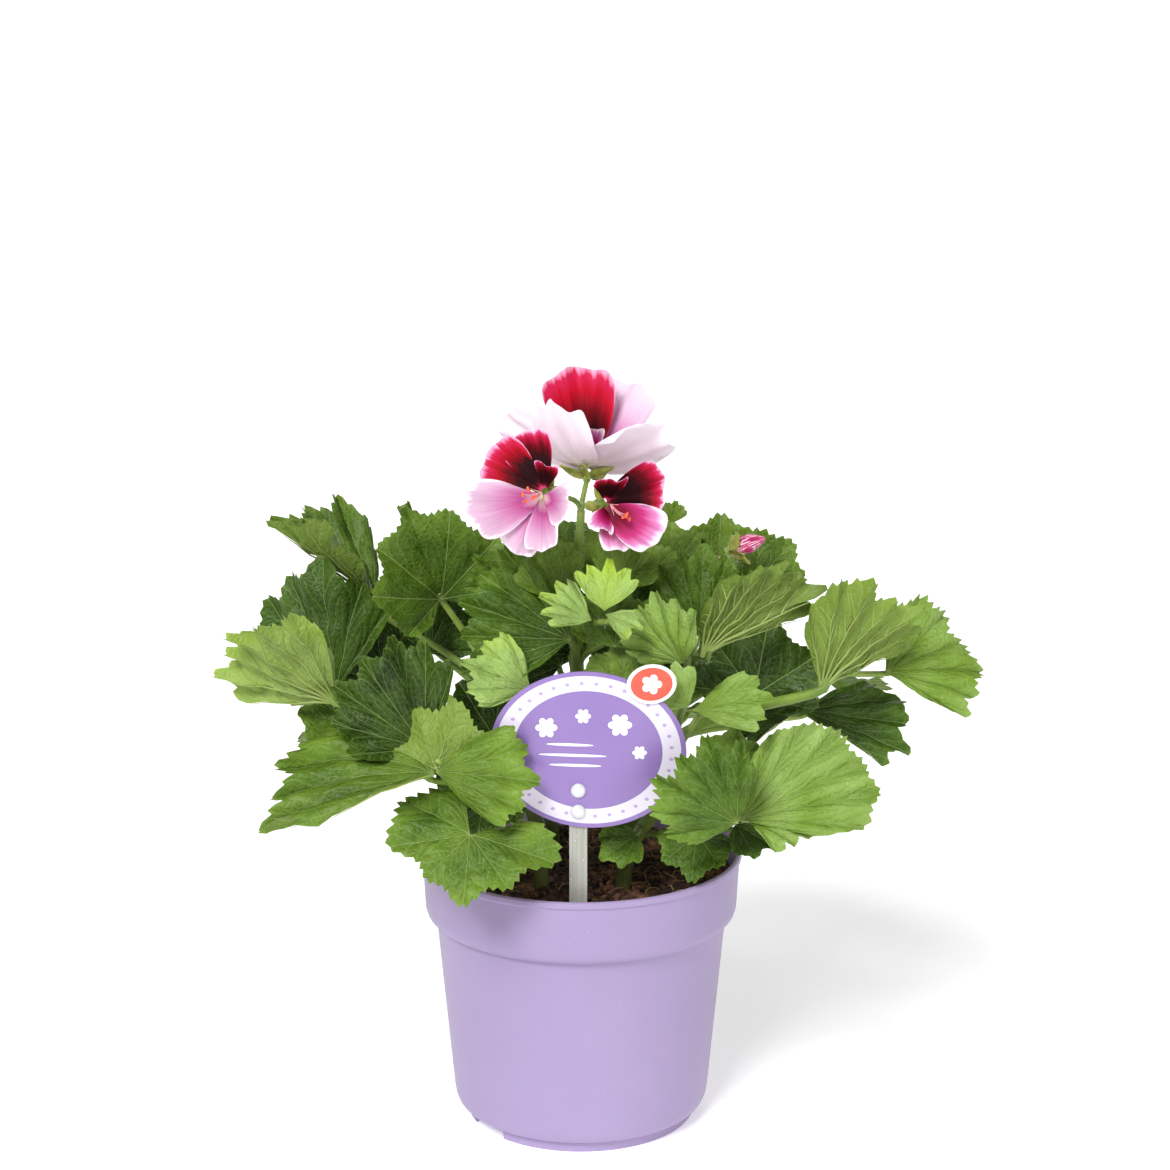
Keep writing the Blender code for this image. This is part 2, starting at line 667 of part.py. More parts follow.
SHOOTS = {
    "leafy_shoot_left": dict(
        foot=(-16, 8), top=(-34, 8, 172), radius=3.5,
        leaves=dict(
            far_fan=leaf(
                (-81, 28, 206), (-40, 6, 33), (0.6, -0.2, 0.77), spread=(64, 50), fold=(34, 34), pleat=0.04,
                droop=0, grows=0.9,
            ),
            cup=leaf(
                (-56, 10, 213), (-17, 9, 33), (-0.2, -0.45, 0.85), spread=(125, 125), cup=34, base=0.15,
                ruffle=0.07, grows=0.96,
            ),
            upright=leaf(
                (-98, 5, 177), (-8, 8, 48), (-0.5, -0.8, 0.2), spread=(90, 48), fold=(0, -30), grows=0.7,
            ),
            outer=leaf(
                (-95.6, -22, 179.7), (-38, -5, 32), (0.25, 0.85, 0.45), spread=(50, 60), pleat=0.038,
                fold=(10, 0), grows=0.5,
            ),
            shaded=leaf((-80, 34, 171), (-6, 1, 35), (0.2, -0.9, 0.2), spread=(80, 70), lobes=5, grows=0.6),
            inner=leaf((-62, 20, 188), (10, 6, 22), (0.1, -0.9, 0.5), spread=(80, 80), lobes=5, grows=0.8),
        ),
    ),
    "leafy_shoot_front_left": dict(
        foot=(-16, -20), top=(-30, -34, 150), radius=3.3,
        leaves=dict(
            broad=leaf(
                (-59.7, -50, 169.6), (-12, 9, 38), (-0.15, -0.8, 0.55), spread=(88, 48), cup=6, ruffle=0.07,
                grows=0.96,
            ),
            long_fold=leaf(
                (-56, -64, 164), (-60, -7, -13), (-0.1, -0.5, 0.85), spread=(18, 70), fold=(40, 0),
                base=0.42, ruffle=0.06, grows=0.75,
            ),
            long_fold_right=leaf(
                (-54.6, -66.3, 165.4), (36, -7, 0), (0.1, -0.9, 0.4), spread=(48, 26), lobes=5, droop=26,
                grows=0.65,
            ),
            long_fold_back=leaf(
                (-55, -62, 165), (9, 7, 22), (0.3, 0.8, -0.3), spread=(62, 62), base=0.1, lobes=5,
                grows=0.85,
            ),
            over_rim=leaf(
                (-42, -70, 141.5), (-2, -19, -19), (0, -0.7, 0.7), spread=(108, 142), base=-0.5,
                fold=(-8, -8), part=0.06, droop=14, grows=0.45,
            ),
            small=leaf(
                (-97, -10, 168), (-13, -2, 5), (-0.1, -0.8, 0.5), spread=(110, 110), lobes=5, grows=0.4,
            ),
            shaded=leaf(
                (-34, -30, 168), (-12, 0, 20), (-0.1, -0.8, 0.5), spread=(100, 100), lobes=5, grows=0.9,
            ),
            hanging=leaf(
                (-35, -46, 158), (2, -8, -16), (0.2, -0.8, 0.5), spread=(100, 80), lobes=5, grows=0.85,
            ),
        ),
    ),
    "leafy_shoot_centre": dict(
        foot=(0, -2), top=(-2, -16, 218), radius=3.5,
        leaves=dict(
            broad=leaf(
                (-4, -33, 208), (-40, 0, 15), (-0.15, -0.85, 0.5), spread=(62, 60), ruffle=0.07, grows=0.75,
            ),
            bright_low=leaf(
                (-19.4, -46, 192), (-22.7, -3, 10.8), (-0.1, -0.85, 0.5), spread=(50, 62), lobes=5,
                grows=0.5,
            ),
            bright_left=leaf(
                (4, -45, 219), (-17, -2, 10), (-0.2, -0.75, 0.6), spread=(48, 48), lobes=5, lobe=0.12,
                grows=0.9,
            ),
            bright_top=leaf(
                (9, -46, 223), (2, 5, 17), (0.1, -0.95, 0.3), spread=(62, 55), lobes=5, lobe=0.13, base=0.1,
                grows=0.95,
            ),
            bright_right=leaf(
                (9.5, -47.5, 222), (13, -5, -4), (0.1, -0.7, 0.7), spread=(40, 50), lobes=3, grows=0.8,
            ),
            ruffled=leaf(
                (-15, -3, 221), (-2, 5, 20), (0, -0.8, 0.6), spread=(62, 110), ruffle=0.09, grows=0.96,
            ),
            bronze=leaf(
                (-27, -10, 223), (-14, 0, 12), (-0.2, -0.8, 0.55), spread=(80, 16), lobes=5, grows=0.8,
            ),
            young=leaf(
                (-26, -7, 226), (-1, 5, 16), (-0.1, -0.9, 0.4), spread=(14, 45), lobes=3, grows=0.88,
            ),
            toothed=leaf((-6, 8, 230), (14, 4, 9), (0, -0.85, 0.5), spread=(80, 80), lobes=5, grows=0.85),
            behind=leaf((22, 0, 219), (0, 7, 21), (0, -0.85, 0.5), spread=(95, 115), lobes=5, grows=0.7),
            above_card=leaf(
                (18, -30, 184), (-3, 2, 21), (-0.1, -0.85, 0.5), spread=(100, 60), lobes=5, grows=0.6,
            ),
            inner_left=leaf(
                (-4, -10, 196), (-6, 4, 26), (0, -0.85, 0.5), spread=(100, 100), lobes=5, grows=0.6,
            ),
            inner_right=leaf(
                (20, -14, 206), (4, 4, 25), (0, -0.85, 0.5), spread=(66, 90), lobes=5, grows=0.55,
            ),
            heart=leaf((13, -33, 205), (2, 3, 22), (0, -0.9, 0.4), spread=(90, 90), lobes=5, grows=0.7),
            crown_left=leaf(
                (-9, -27, 226), (-5, 3, 18), (0, -0.85, 0.5), spread=(85, 70), lobes=5, grows=0.7,
            ),
            crown_right=leaf(
                (14, -24, 229), (7, 3, 16), (0, -0.85, 0.5), spread=(85, 85), lobes=5, grows=0.9,
            ),
            deep_left=leaf(
                (-8, 5, 187), (-12, 3, 22), (0, -0.8, 0.5), spread=(110, 95), lobes=5, grows=0.45,
            ),
            deep_right=leaf(
                (20, 3, 184), (6, 2, 24), (0, -0.8, 0.5), spread=(90, 110), lobes=5, grows=0.35,
            ),
        ),
    ),
    "leafy_shoot_right": dict(
        foot=(18, 2), top=(44, -16, 196), radius=3.7,
        leaves=dict(
            upright=leaf(
                (46, -31, 209), (1, 5, 32), (-0.1, -0.95, 0.2), spread=(62, 62), fold=(-10, -10), grows=0.7,
            ),
            folded=leaf((39, -45, 202), (-12, -2, 24), (-0.6, -0.75, 0.2), spread=(80, 60), grows=0.8),
            fan=leaf(
                (45.7, -40, 203.8), (42, 8, 25), (-0.4, 0.75, 0.5), spread=(20, 66), pleat=0.034,
                grows=0.92,
            ),
            by_buds=leaf(
                (70, 8, 222), (14, 5, 13), (0.2, -0.8, 0.5), spread=(105, 105), lobes=5, grows=0.75,
            ),
            great_cup=leaf(
                (92.7, -32, 188.3), (36, 6, 28), (-0.3, 0.75, 0.55), spread=(46, 72), cup=8, base=0.1,
                stalk=2.2, grows=0.45,
            ),
            outer=leaf(
                (121, -8, 188), (39, 3, 4), (-0.1, -0.75, 0.6), spread=(85, 52), pleat=0.036, droop=32,
                base=0.12, grows=0.65,
            ),
            lower=leaf((88, 2, 169), (42, -3, -13), (0, -0.6, 0.8), spread=(52, 22), lobes=5, grows=0.5),
            deep=leaf((68, -20, 182), (5, 2, 28), (0, -0.85, 0.4), spread=(115, 115), lobes=5, grows=0.7),
            lower_left=leaf(
                (84, 2, 167), (-24, -2, -3), (0, -0.6, 0.8), spread=(42, 42), lobes=5, grows=0.5,
            ),
        ),
    ),
    "leafy_shoot_front_right": dict(
        foot=(17, -22), top=(36, -34, 158), radius=3.2,
        leaves=dict(
            great_light=leaf(
                (61, -66, 146), (53, 3, 12), (-0.2, -0.85, 0.5), spread=(72, 28), base=0.42,
                sides=(-20, -30), part=0.03, droop=20, grows=0.8,
            ),
            flap=leaf((62, -62, 147), (23, -7, -5), (0, -0.5, 0.85), spread=(42, 42), lobes=5, grows=0.7),
            over_card=leaf(
                (59, -74, 147.5), (-12, -3, 31), (-0.35, -0.85, 0.3), spread=(104, 30), base=0.15,
                grows=0.35,
            ),
            near_soil=leaf(
                (22, -40, 131), (-13, -6, -6), (0, -0.6, 0.8), spread=(80, 80), lobes=5, grows=0.4,
            ),
            low_middle=leaf(
                (45, -38, 130), (-2, -12, -12), (0, -0.7, 0.7), spread=(105, 105), lobes=5, grows=0.3,
            ),
            low_right=leaf(
                (60, -40, 135), (15, -5, -5), (0, -0.6, 0.8), spread=(90, 90), lobes=5, grows=0.55,
            ),
            crinkled=leaf(
                (58, -38, 160), (2, -2, 13), (0, -0.85, 0.4), spread=(110, 110), lobes=5, ruffle=0.1,
                grows=0.85,
            ),
            light_small=leaf(
                (41, -50, 186), (-5, 0, 16), (0, -0.9, 0.4), spread=(80, 38), lobes=5, grows=0.96,
            ),
            serrated=leaf(
                (43, -51, 185), (27, -3, 7), (0, -0.8, 0.6), spread=(36, 45), lobes=5, grows=0.85,
            ),
        ),
    ),
    "leafy_shoot_back_right": dict(
        foot=(12, 22), top=(38, 24, 205), radius=3.4,
        leaves=dict(
            crest_left=leaf(
                (37, 12, 225), (-1, 4, 17), (0, -0.8, 0.5), spread=(110, 75), lobes=5, grows=0.8,
            ),
            crest_tip=leaf((36, 20, 242), (2, 3, 8), (0, -0.8, 0.5), spread=(60, 60), lobes=5, grows=0.95),
            crest_right=leaf(
                (55, 16, 226), (1, 6, 18), (0, -0.7, 0.6), spread=(100, 115), lobes=5, grows=0.88,
            ),
            outer=leaf((62, 58, 188), (28, 20, 6), (0.25, 0.3, 0.9), lobes=5, grows=0.7),
            rear=leaf((30, 72, 195), (8, 34, 2), (0, 0.3, 0.95), lobes=5, grows=0.75),
            side=leaf((92, 50, 170), (32, 16, -6), (0.3, 0.2, 0.9), spread=(105, 105), lobes=5, grows=0.5),
            low=leaf(
                (44, 62, 152), (18, 28, -14), (0.1, 0.5, 0.85), spread=(100, 100), lobes=5, grows=0.35,
            ),
            high=leaf((8, 46, 212), (-2, 26, 12), (0, 0, 1), spread=(105, 105), lobes=5, grows=0.85),
        ),
    ),
    "leafy_shoot_back_left": dict(
        foot=(-12, 24), top=(-32, 32, 190), radius=3.3,
        leaves=dict(
            outer=leaf(
                (-74, 60, 186), (-29, 20, 8), (-0.3, 0.3, 0.9), spread=(105, 105), lobes=5, grows=0.8,
            ),
            rear=leaf(
                (-42, 76, 176), (-12, 34, -4), (0, 0.35, 0.94), spread=(105, 105), lobes=5, grows=0.65,
            ),
            high=leaf((-30, 50, 208), (-12, 26, 14), (-0.1, 0.1, 1), lobes=5, grows=0.95),
            side=leaf((-82, 45, 150), (-34, 14, -10), (-0.3, 0.2, 0.9), lobes=5, grows=0.4),
            low=leaf((-18, 66, 150), (-8, 32, -12), (0, 0.5, 0.85), spread=(100, 100), lobes=5, grows=0.35),
        ),
    ),
}

UMBEL = (0, -20, 255)
OPEN_BUD = (60, -4, 236.5)
OPEN_BUD_AXIS = (0.9, 0.0, 0.35)
SMALL_BUD = (55.5, -7.5, 226.5)
SMALL_BUD_AXIS = (-0.15, -0.3, 1.0)

BLOOMS = {
    "bloom_top": dict(
        hub=(2.8, -15, 272), axis=(0.1, 0.35, 0.93), side=(0, 1, 0), sepal=11.0, lean=0.35,
        upper=[
            petal((-6, 6, 39), (0.15, -0.95, 0.2), spread=(30, 33), sides=(30, 30), ruffle=0.07),
            petal((20, 15, 30), (-0.35, -0.9, 0.2), spread=(26, 24), sides=(20, -20)),
        ],
        lower=[
            petal((-34, 3, 13), (0.3, 0.8, 0.6), spread=(30, 26), droop=-20, ruffle=0.08, belly=0.8),
            petal(
                (-20, -22, 15), (0.3, 0.6, 0.75), spread=(28, 34), droop=-60, sides=(20, 20), ruffle=0.05,
                belly=0.9,
            ),
            petal(
                (31, -17, 9), (-0.2, 0.75, 0.6), spread=(26, 34), droop=-30, sides=(20, 20), ruffle=0.07,
                belly=0.9,
            ),
            petal((2, -1, 18), (0, -0.9, 0.3), spread=(22, 22), droop=-30, ruffle=0.1, belly=0),
        ],
        anthers=((-2, -1, 6), (-1, -1, 7), (-3, 0, 5)),
    ),
    "bloom_left": dict(
        hub=(-14, -44.7, 268.5), axis=(-0.25, -0.93, 0.2), side=(0, 0, 1), sepal=9.0, lean=0.1,
        upper=[
            petal((-9, 6, 20), (-0.1, -0.9, 0.4), spread=(36, 36), sides=(20, 20), ruffle=0.09),
            petal((-21, 6, 12), (-0.2, -0.9, 0.4), spread=(34, 34), sides=(0, 0), ruffle=0.07, belly=0.2),
            petal((3, -2, 12), (-0.3, -0.9, 0.3), spread=(32, 32), droop=-40, ruffle=0.1),
        ],
        lower=[
            petal((-28, -10, -3), (0, -0.95, 0.3), spread=(34, 32), ruffle=0.07, sides=(10, 20), belly=0.1),
            petal((-11, -8, -19), (0, -0.95, 0.3), spread=(28, 28), ruffle=0.09, sides=(-30, -20)),
            petal((-1, -11, -18), (0.2, -0.9, 0.4), spread=(24, 26), ruffle=0.1, sides=(20, -30)),
            petal((10, -10, -2), (-0.7, -0.7, 0.2), spread=(52, 50), ruffle=0.1, sides=(20, 20), belly=0),
        ],
        anthers=((-7, -7, 1), (-5, -8, 3), (-6, -6, -2), (-3, -9, 0)),
    ),
    "bloom_right": dict(
        hub=(9.5, -37, 262.5), axis=(0.74, -0.67, 0.05), side=(0, 0, 1), sepal=9.0, lean=0.3,
        upper=[
            petal(
                (22, -5, 7.5), (-0.5, -0.8, -0.2), spread=(32, 23), sides=(30, 20), ruffle=0.1, belly=0.1,
            ),
            petal((3, -7, 11), (0.1, -0.9, -0.3), spread=(46, 44), droop=-15, ruffle=0.12, belly=0.1),
        ],
        lower=[
            petal((-1, -13, -4), (0.7, -0.2, 0.6), spread=(34, 34), droop=20, ruffle=0.12, belly=0.2),
            petal(
                (6, -9, -14), (0.1, -0.7, 0.7), spread=(30, 32), sides=(20, 20), droop=10, ruffle=0.12,
                belly=0.3,
            ),
            petal(
                (20, -11, -8), (-0.4, -0.8, 0.4), spread=(28, 32), sides=(25, 25), droop=10, ruffle=0.1,
                belly=0.3,
            ),
        ],
        anthers=((5, -8, -3), (7, -7, -4), (6, -9, -2)),
    ),
}

for name, shoot in SHOOTS.items():
    build_shoot(name, shoot)
build_pot()
build_soil(SHOOTS.values())
build_card()
build_stake()
build_sticker()

calyxes = []
for name, bloom in BLOOMS.items():
    upper_hub, lower_hub, root, cup = bloom_seats(bloom)
    calyxes.append((cup, bloom["axis"], bloom["sepal"], bloom["lean"]))
    build_petals(name + "_upper_petals", bloom["upper"], upper_hub, BURGUNDY)
    build_petals(name + "_lower_petals", bloom["lower"], lower_hub, PINK)
    build_stamens(name + "_stamens", root, bloom["anthers"], ORANGE)
build_truss("flower_truss", ((-2, -16, 218.6), (0, -20, 256)), UMBEL, calyxes, 1.9)

build_truss(
    "bud_truss",
    ((44, -16, 196.6), (60.5, -3, 227)),
    (60.5, -3, 226),
    ((OPEN_BUD, OPEN_BUD_AXIS, 9.0, 0.8), (SMALL_BUD, SMALL_BUD_AXIS, 7.0, 1.3)),
    1.4,
)
build_bud("bud_open", OPEN_BUD, OPEN_BUD_AXIS, 13.0, 7.6, BUD_PINK)
build_bud("bud_small", SMALL_BUD, SMALL_BUD_AXIS, 9.0, 4.6, BUD_PINK)
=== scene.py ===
import math
import random

import bmesh
import bpy
from mathutils import Matrix, Vector, noise


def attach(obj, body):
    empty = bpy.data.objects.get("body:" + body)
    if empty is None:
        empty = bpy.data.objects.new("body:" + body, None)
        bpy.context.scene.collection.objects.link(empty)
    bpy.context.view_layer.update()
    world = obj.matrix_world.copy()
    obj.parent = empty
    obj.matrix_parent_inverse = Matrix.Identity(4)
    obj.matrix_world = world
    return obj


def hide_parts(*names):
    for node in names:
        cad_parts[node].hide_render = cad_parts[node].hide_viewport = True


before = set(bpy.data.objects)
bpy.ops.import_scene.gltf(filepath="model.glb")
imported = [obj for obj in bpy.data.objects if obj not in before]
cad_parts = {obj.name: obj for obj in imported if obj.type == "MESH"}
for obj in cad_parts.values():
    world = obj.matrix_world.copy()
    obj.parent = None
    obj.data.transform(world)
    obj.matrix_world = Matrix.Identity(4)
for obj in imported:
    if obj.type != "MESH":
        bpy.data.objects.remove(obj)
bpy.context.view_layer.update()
print("frame loaded:", len(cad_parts), "solids")

mm = 0.001  # the tables below are in millimetres, as the solids are drawn


# a number or colour on its way through a material's nodes: a sign between two of them adds a maths node
class Signal:
    def __init__(self, socket):
        self.socket = socket
        self.tree = socket.id_data

    def __rsub__(self, other):
        return maths(self.tree, "SUBTRACT", other, self)


signs = {"add": "ADD", "sub": "SUBTRACT", "mul": "MULTIPLY", "pow": "POWER", "gt": "GREATER_THAN",
         "lt": "LESS_THAN", "abs": "ABSOLUTE", "round": "ROUND"}
for sign, operation in signs.items():
    setattr(Signal, f"__{sign}__", lambda self, *other, does=operation: maths(self.tree, does, self, *other))


def addNode(tree, kind, inputs=None, **settings):
    node = tree.nodes.new(kind)
    for key, value in settings.items():
        setattr(node, key, value)
    for key, value in (inputs or {}).items():
        if isinstance(value, Signal):
            tree.links.new(value.socket, node.inputs[key])
        else:
            node.inputs[key].default_value = value
    return node


def signalOf(tree, kind, inputs=None, output=0, **settings):
    return Signal(addNode(tree, kind, inputs, **settings).outputs[output])


def partsOf(tree, value, kind="ShaderNodeSeparateXYZ"):
    return [Signal(output) for output in addNode(tree, kind, {0: value}).outputs]


def maths(tree, operation, *values, clamp=False):
    return signalOf(tree, "ShaderNodeMath", dict(enumerate(values)), operation=operation, use_clamp=clamp)


def blendColour(tree, share, first, second, mode="MIX"):
    colours = [(*value, 1) if isinstance(value, tuple) else value for value in (first, second)]
    inputs = {0: share, 6: colours[0], 7: colours[1]}
    return signalOf(tree, "ShaderNodeMix", inputs, 2, data_type="RGBA", blend_type=mode)


def rampOf(tree, value, stops):
    node = addNode(tree, "ShaderNodeValToRGB", {0: value})
    ramp = node.color_ramp
    while len(ramp.elements) < len(stops):
        ramp.elements.new(0.5)
    for element, (place, colour) in zip(ramp.elements, stops):
        element.position = place
        element.color = (*colour, 1)
    return Signal(node.outputs[0])


def band(value, low, high):
    inputs = {0: value, 1: low, 2: high, 3: 0.0, 4: 1.0}
    return signalOf(value.tree, "ShaderNodeMapRange", inputs, interpolation_type="SMOOTHSTEP")


def objectPlace(tree):
    return signalOf(tree, "ShaderNodeTexCoord", output="Object")


def pointOf(tree, *parts):
    return signalOf(tree, "ShaderNodeCombineXYZ", dict(enumerate(parts)))


def noiseOf(tree, scale, detail=3.0, vector=None):
    inputs = {"Vector": vector or objectPlace(tree), "Scale": scale, "Detail": detail}
    return signalOf(tree, "ShaderNodeTexNoise", inputs)


def patchesOf(tree, low, high, scale, detail=2.0, spread=0.2):
    return rampOf(tree, noiseOf(tree, scale, detail), [(0.5 - spread, low), (0.5 + spread, high)])


def newMaterial(name, colour, roughness, **sockets):
    made = bpy.data.materials.new(name)
    made.use_nodes = True
    shader = made.node_tree.nodes["Principled BSDF"]
    shader.inputs["Base Color"].default_value = (*colour, 1)
    shader.inputs["Roughness"].default_value = roughness
    for socket, value in sockets.items():
        shader.inputs[socket.replace("_", " ")].default_value = value
    return made, made.node_tree, shader


def feed(shader, socket, signal):
    signal.tree.links.new(signal.socket, shader.inputs[socket])


def bumpInto(shader, height, strength, distance):
    inputs = {"Height": height, "Strength": strength, "Distance": distance}
    feed(shader, "Normal", signalOf(height.tree, "ShaderNodeBump", inputs))


def mottled(name, low, high, scale, roughness, detail=3.0, spread=0.15, **sockets):
    # two close colours in soft patches
    made, tree, shader = newMaterial(name, low, roughness, **sockets)
    feed(shader, "Base Color", patchesOf(tree, low, high, scale, detail, spread))
    return made


def bladeInputs(tree):
    # u counts veins from the middle one, v runs from the vein junction to the edge; then tint, upper side and
    # a chance value of the blade's own
    uv = signalOf(tree, "ShaderNodeUVMap", uv_map="bladeUv")
    look = signalOf(tree, "ShaderNodeAttribute", output="Color", attribute_name="bladeLook")
    return *partsOf(tree, uv)[:2], *partsOf(tree, look, "ShaderNodeSeparateColor")


leafLook = {
    "tints": [(0.0, (0.010, 0.026, 0.002)), (0.25, (0.046, 0.098, 0.005)), (0.5, (0.146, 0.244, 0.024)),
              (0.75, (0.262, 0.385, 0.105)), (1.0, (0.345, 0.510, 0.030))],
    "vein": (0.36, 0.50, 0.16),
    "under": (0.185, 0.255, 0.045),
    "underVein": (0.40, 0.50, 0.18),
    "branches": 4.0,  # side veins along a main vein
    "branchSlant": 3.8,
    "cellScale": 420.0,
}


def leafMaterial():
    made, tree, shader = newMaterial(
        "leafGreen", (0.1, 0.27, 0.04), 0.5, Subsurface_Weight=0.06, Subsurface_Radius=(0.3, 0.6, 0.1),
        Subsurface_Scale=0.002, Specular_IOR_Level=0.2)
    u, v, tint, upper, _ = bladeInputs(tree)
    sway = noiseOf(tree, 70.0, 2.0) - 0.5
    fromVein = abs(u - round(u))
    mainVein = 1.0 - band(fromVein * v, 0.003, 0.016)
    branch = v * leafLook["branches"] - fromVein * leafLook["branchSlant"] + sway * 1.8
    branch = abs(branch - round(branch))
    sideVein = (1.0 - band(branch, 0.015, 0.10)) * band(v, 0.15, 0.45)
    inputs = {"Vector": objectPlace(tree), "Scale": leafLook["cellScale"]}
    cells = signalOf(tree, "ShaderNodeTexVoronoi", inputs, feature="DISTANCE_TO_EDGE")
    net = 1.0 - band(cells, 0.0, 0.14)
    veins = maths(tree, "MAXIMUM", mainVein, sideVein * 0.26)
    shifted = tint + (noiseOf(tree, 60.0, 5.0) - 0.5) * 0.55  # patches of lighter and darker green
    shifted = maths(tree, "ADD", shifted, band(v, 0.55, 1.0) * 0.07, clamp=True)
    green = rampOf(tree, shifted, leafLook["tints"])
    green = blendColour(tree, net * 0.05, green, leafLook["vein"])
    veined = blendColour(tree, veins * 0.5, green, leafLook["vein"])
    under = blendColour(tree, 0.5, green, leafLook["under"])
    under = blendColour(tree, veins * 0.5, under, leafLook["underVein"])
    feed(shader, "Base Color", blendColour(tree, upper, under, veined))
    fine = noiseOf(tree, 900.0, 2.0)
    swell = band(cells, 0.0, 0.5) * 0.55 + band(branch, 0.0, 0.45) * 0.4
    bumpInto(shader, swell - mainVein * 1.5 + fine * 0.35, 0.6, 0.0008)
    feed(shader, "Roughness", fine * 0.22 + 0.34)
    return made


stalkLook = {
    "greens": [(0.3, (0.12, 0.20, 0.028)), (0.55, (0.22, 0.33, 0.055)), (0.75, (0.34, 0.41, 0.11))],
    # dark brown at the stalks' foot: partly their own colour, partly painted shade under the leaves
    "foot": (0.055, 0.040, 0.018),
    "footBrownAndShadeBand": (0.112, 0.15),  # metres up from the table, where the dark brown of the foot runs out: partly the stalks' own brown, partly painted shade near the soil
}


def stalkMaterial():
    made, tree, shader = newMaterial(
        "stalkGreen", (0.22, 0.36, 0.06), 0.45, Subsurface_Weight=0.1, Subsurface_Radius=(0.3, 0.6, 0.1),
        Subsurface_Scale=0.002, Specular_IOR_Level=0.3)
    green = rampOf(tree, noiseOf(tree, 70.0, 3.0), stalkLook["greens"])
    # low on the stalks, darker brown towards the soil: partly their own brown, partly painted shade
    low = 1.0 - band(partsOf(tree, objectPlace(tree))[2], *stalkLook["footBrownAndShadeBand"])
    feed(shader, "Base Color", blendColour(tree, low * 0.75, green, stalkLook["foot"]))
    bumpInto(shader, noiseOf(tree, 700.0, 2.0), 0.3, 0.0004)
    return made


leafGreen = leafMaterial()
stalkGreen = stalkMaterial()
plantHair = mottled("plantHair", (0.66, 0.74, 0.50), (0.84, 0.88, 0.72), 200.0, 0.5, Alpha=0.7)
veinGreen = mottled("veinGreen", (0.18, 0.26, 0.045), (0.28, 0.37, 0.085), 90.0, 0.5, 2.0, 0.2,
                    Subsurface_Weight=0.1, Subsurface_Scale=0.002)
sepalGreen = mottled("sepalGreen", (0.20, 0.24, 0.035), (0.42, 0.42, 0.10), 220.0, 0.5,
                     Subsurface_Weight=0.1, Subsurface_Scale=0.002, Specular_IOR_Level=0.25)
greens = {"stalk": 1, "hair": 2, "vein": 3, "sepal": 3}  # a green piece's materials after its first one


# shapes: every call adds closed, separate shells to a piece's bmesh
def startMesh():
    bm = bmesh.new()
    bm.loops.layers.uv.new("bladeUv")
    bm.verts.layers.float_color.new("bladeLook")
    return bm


def mergeInto(bm, part, materialIndex):
    for face in part.faces:
        face.material_index = materialIndex
    holder = bpy.data.meshes.new("part")
    part.to_mesh(holder)
    part.free()
    bm.from_mesh(holder)
    bpy.data.meshes.remove(holder)


def addToScene(name, data):
    made = bpy.data.objects.new(name, data)
    bpy.context.scene.collection.objects.link(made)
    return made


def objectFrom(name, bm):
    bmesh.ops.scale(bm, vec=(mm, mm, mm), verts=bm.verts)
    mesh = bpy.data.meshes.new(name)
    bm.to_mesh(mesh)
    bm.free()
    return addToScene(name, mesh)


def finishMesh(name, bm, materials, nodes, angle=60.0):
    bmesh.ops.recalc_face_normals(bm, faces=bm.faces)
    piece = objectFrom(name, bm)
    for material in materials:
        piece.data.materials.append(material)
    piece.data.shade_smooth()
    piece.data.set_sharp_from_angle(angle=math.radians(angle))
    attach(piece, "root")
    if nodes:
        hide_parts(*nodes)
    return piece


def addSheet(bm, rows, columns, place, look, materialIndex=0):
    # two grids that meet along the rim, the sides and the root: place gives a point and its u
    part = startMesh()
    uvLayer = part.loops.layers.uv["bladeUv"]
    lookLayer = part.verts.layers.float_color["bladeLook"]
    for upper in (1.0, -1.0):
        made = bmesh.ops.create_grid(part, x_segments=rows, y_segments=columns, size=1.0)["verts"]
        spots = {}
        for vert in made:
            out = 1 - (1 - (vert.co.x + 1) / 2) ** 1.5  # rows crowd towards the rim
            turn = vert.co.y
            lift = min(1.0, (1 - out) * 14, out * 12, (1 - abs(turn)) * 14) * upper  # thin edges
            vert.co, across = place(out, turn, lift)
            spots[vert] = (across, out)
            vert[lookLayer] = (look[0], (upper + 1) / 2, look[1], 1.0)
        for face in {face for vert in made for face in vert.link_faces}:
            for loop in face.loops:
                loop[uvLayer].uv = spots[loop.vert]
    bmesh.ops.remove_doubles(part, verts=part.verts, dist=0.0005)
    mergeInto(bm, part, materialIndex)


def addTube(bm, path, radius, sides, materialIndex):
    # a grid wrapped round the path, drawn to a point at both ends; radius(share) is in millimetres
    part = startMesh()
    count = len(path) + 2
    axes = []
    across = None
    for index, point in enumerate(path):
        ahead = (path[min(index + 1, len(path) - 1)] - path[max(index - 1, 0)]).normalized()
        seed = across or (Vector((1, 0, 0)) if abs(ahead.x) < 0.8 else Vector((0, 1, 0)))
        across = (seed - ahead * seed.dot(ahead)).normalized()
        axes.append((across, ahead.cross(across)))
    for vert in bmesh.ops.create_grid(part, x_segments=count - 1, y_segments=sides, size=1.0)["verts"]:
        row = round((vert.co.x + 1) / 2 * (count - 1)) - 1
        index = min(max(row, 0), len(path) - 1)
        wide = 0.0 if row != index else radius(index / (len(path) - 1))
        turn = math.pi * (vert.co.y + 1)
        first, second = axes[index]
        vert.co = path[index] + wide * (math.cos(turn) * first + math.sin(turn) * second)
    bmesh.ops.remove_doubles(part, verts=part.verts, dist=0.0005)
    mergeInto(bm, part, materialIndex)


hairShape = {
    "foot": 0.07, "tip": 0.015,
    # how many stand where, and how long
    "shoot": (120, 1.6), "petiole": (60, 1.4), "headStalk": (260, 1.5), "flowerStalk": (90, 1.4),
    "calyx": (50, 1.5), "sepal": (16, 1.3),
}


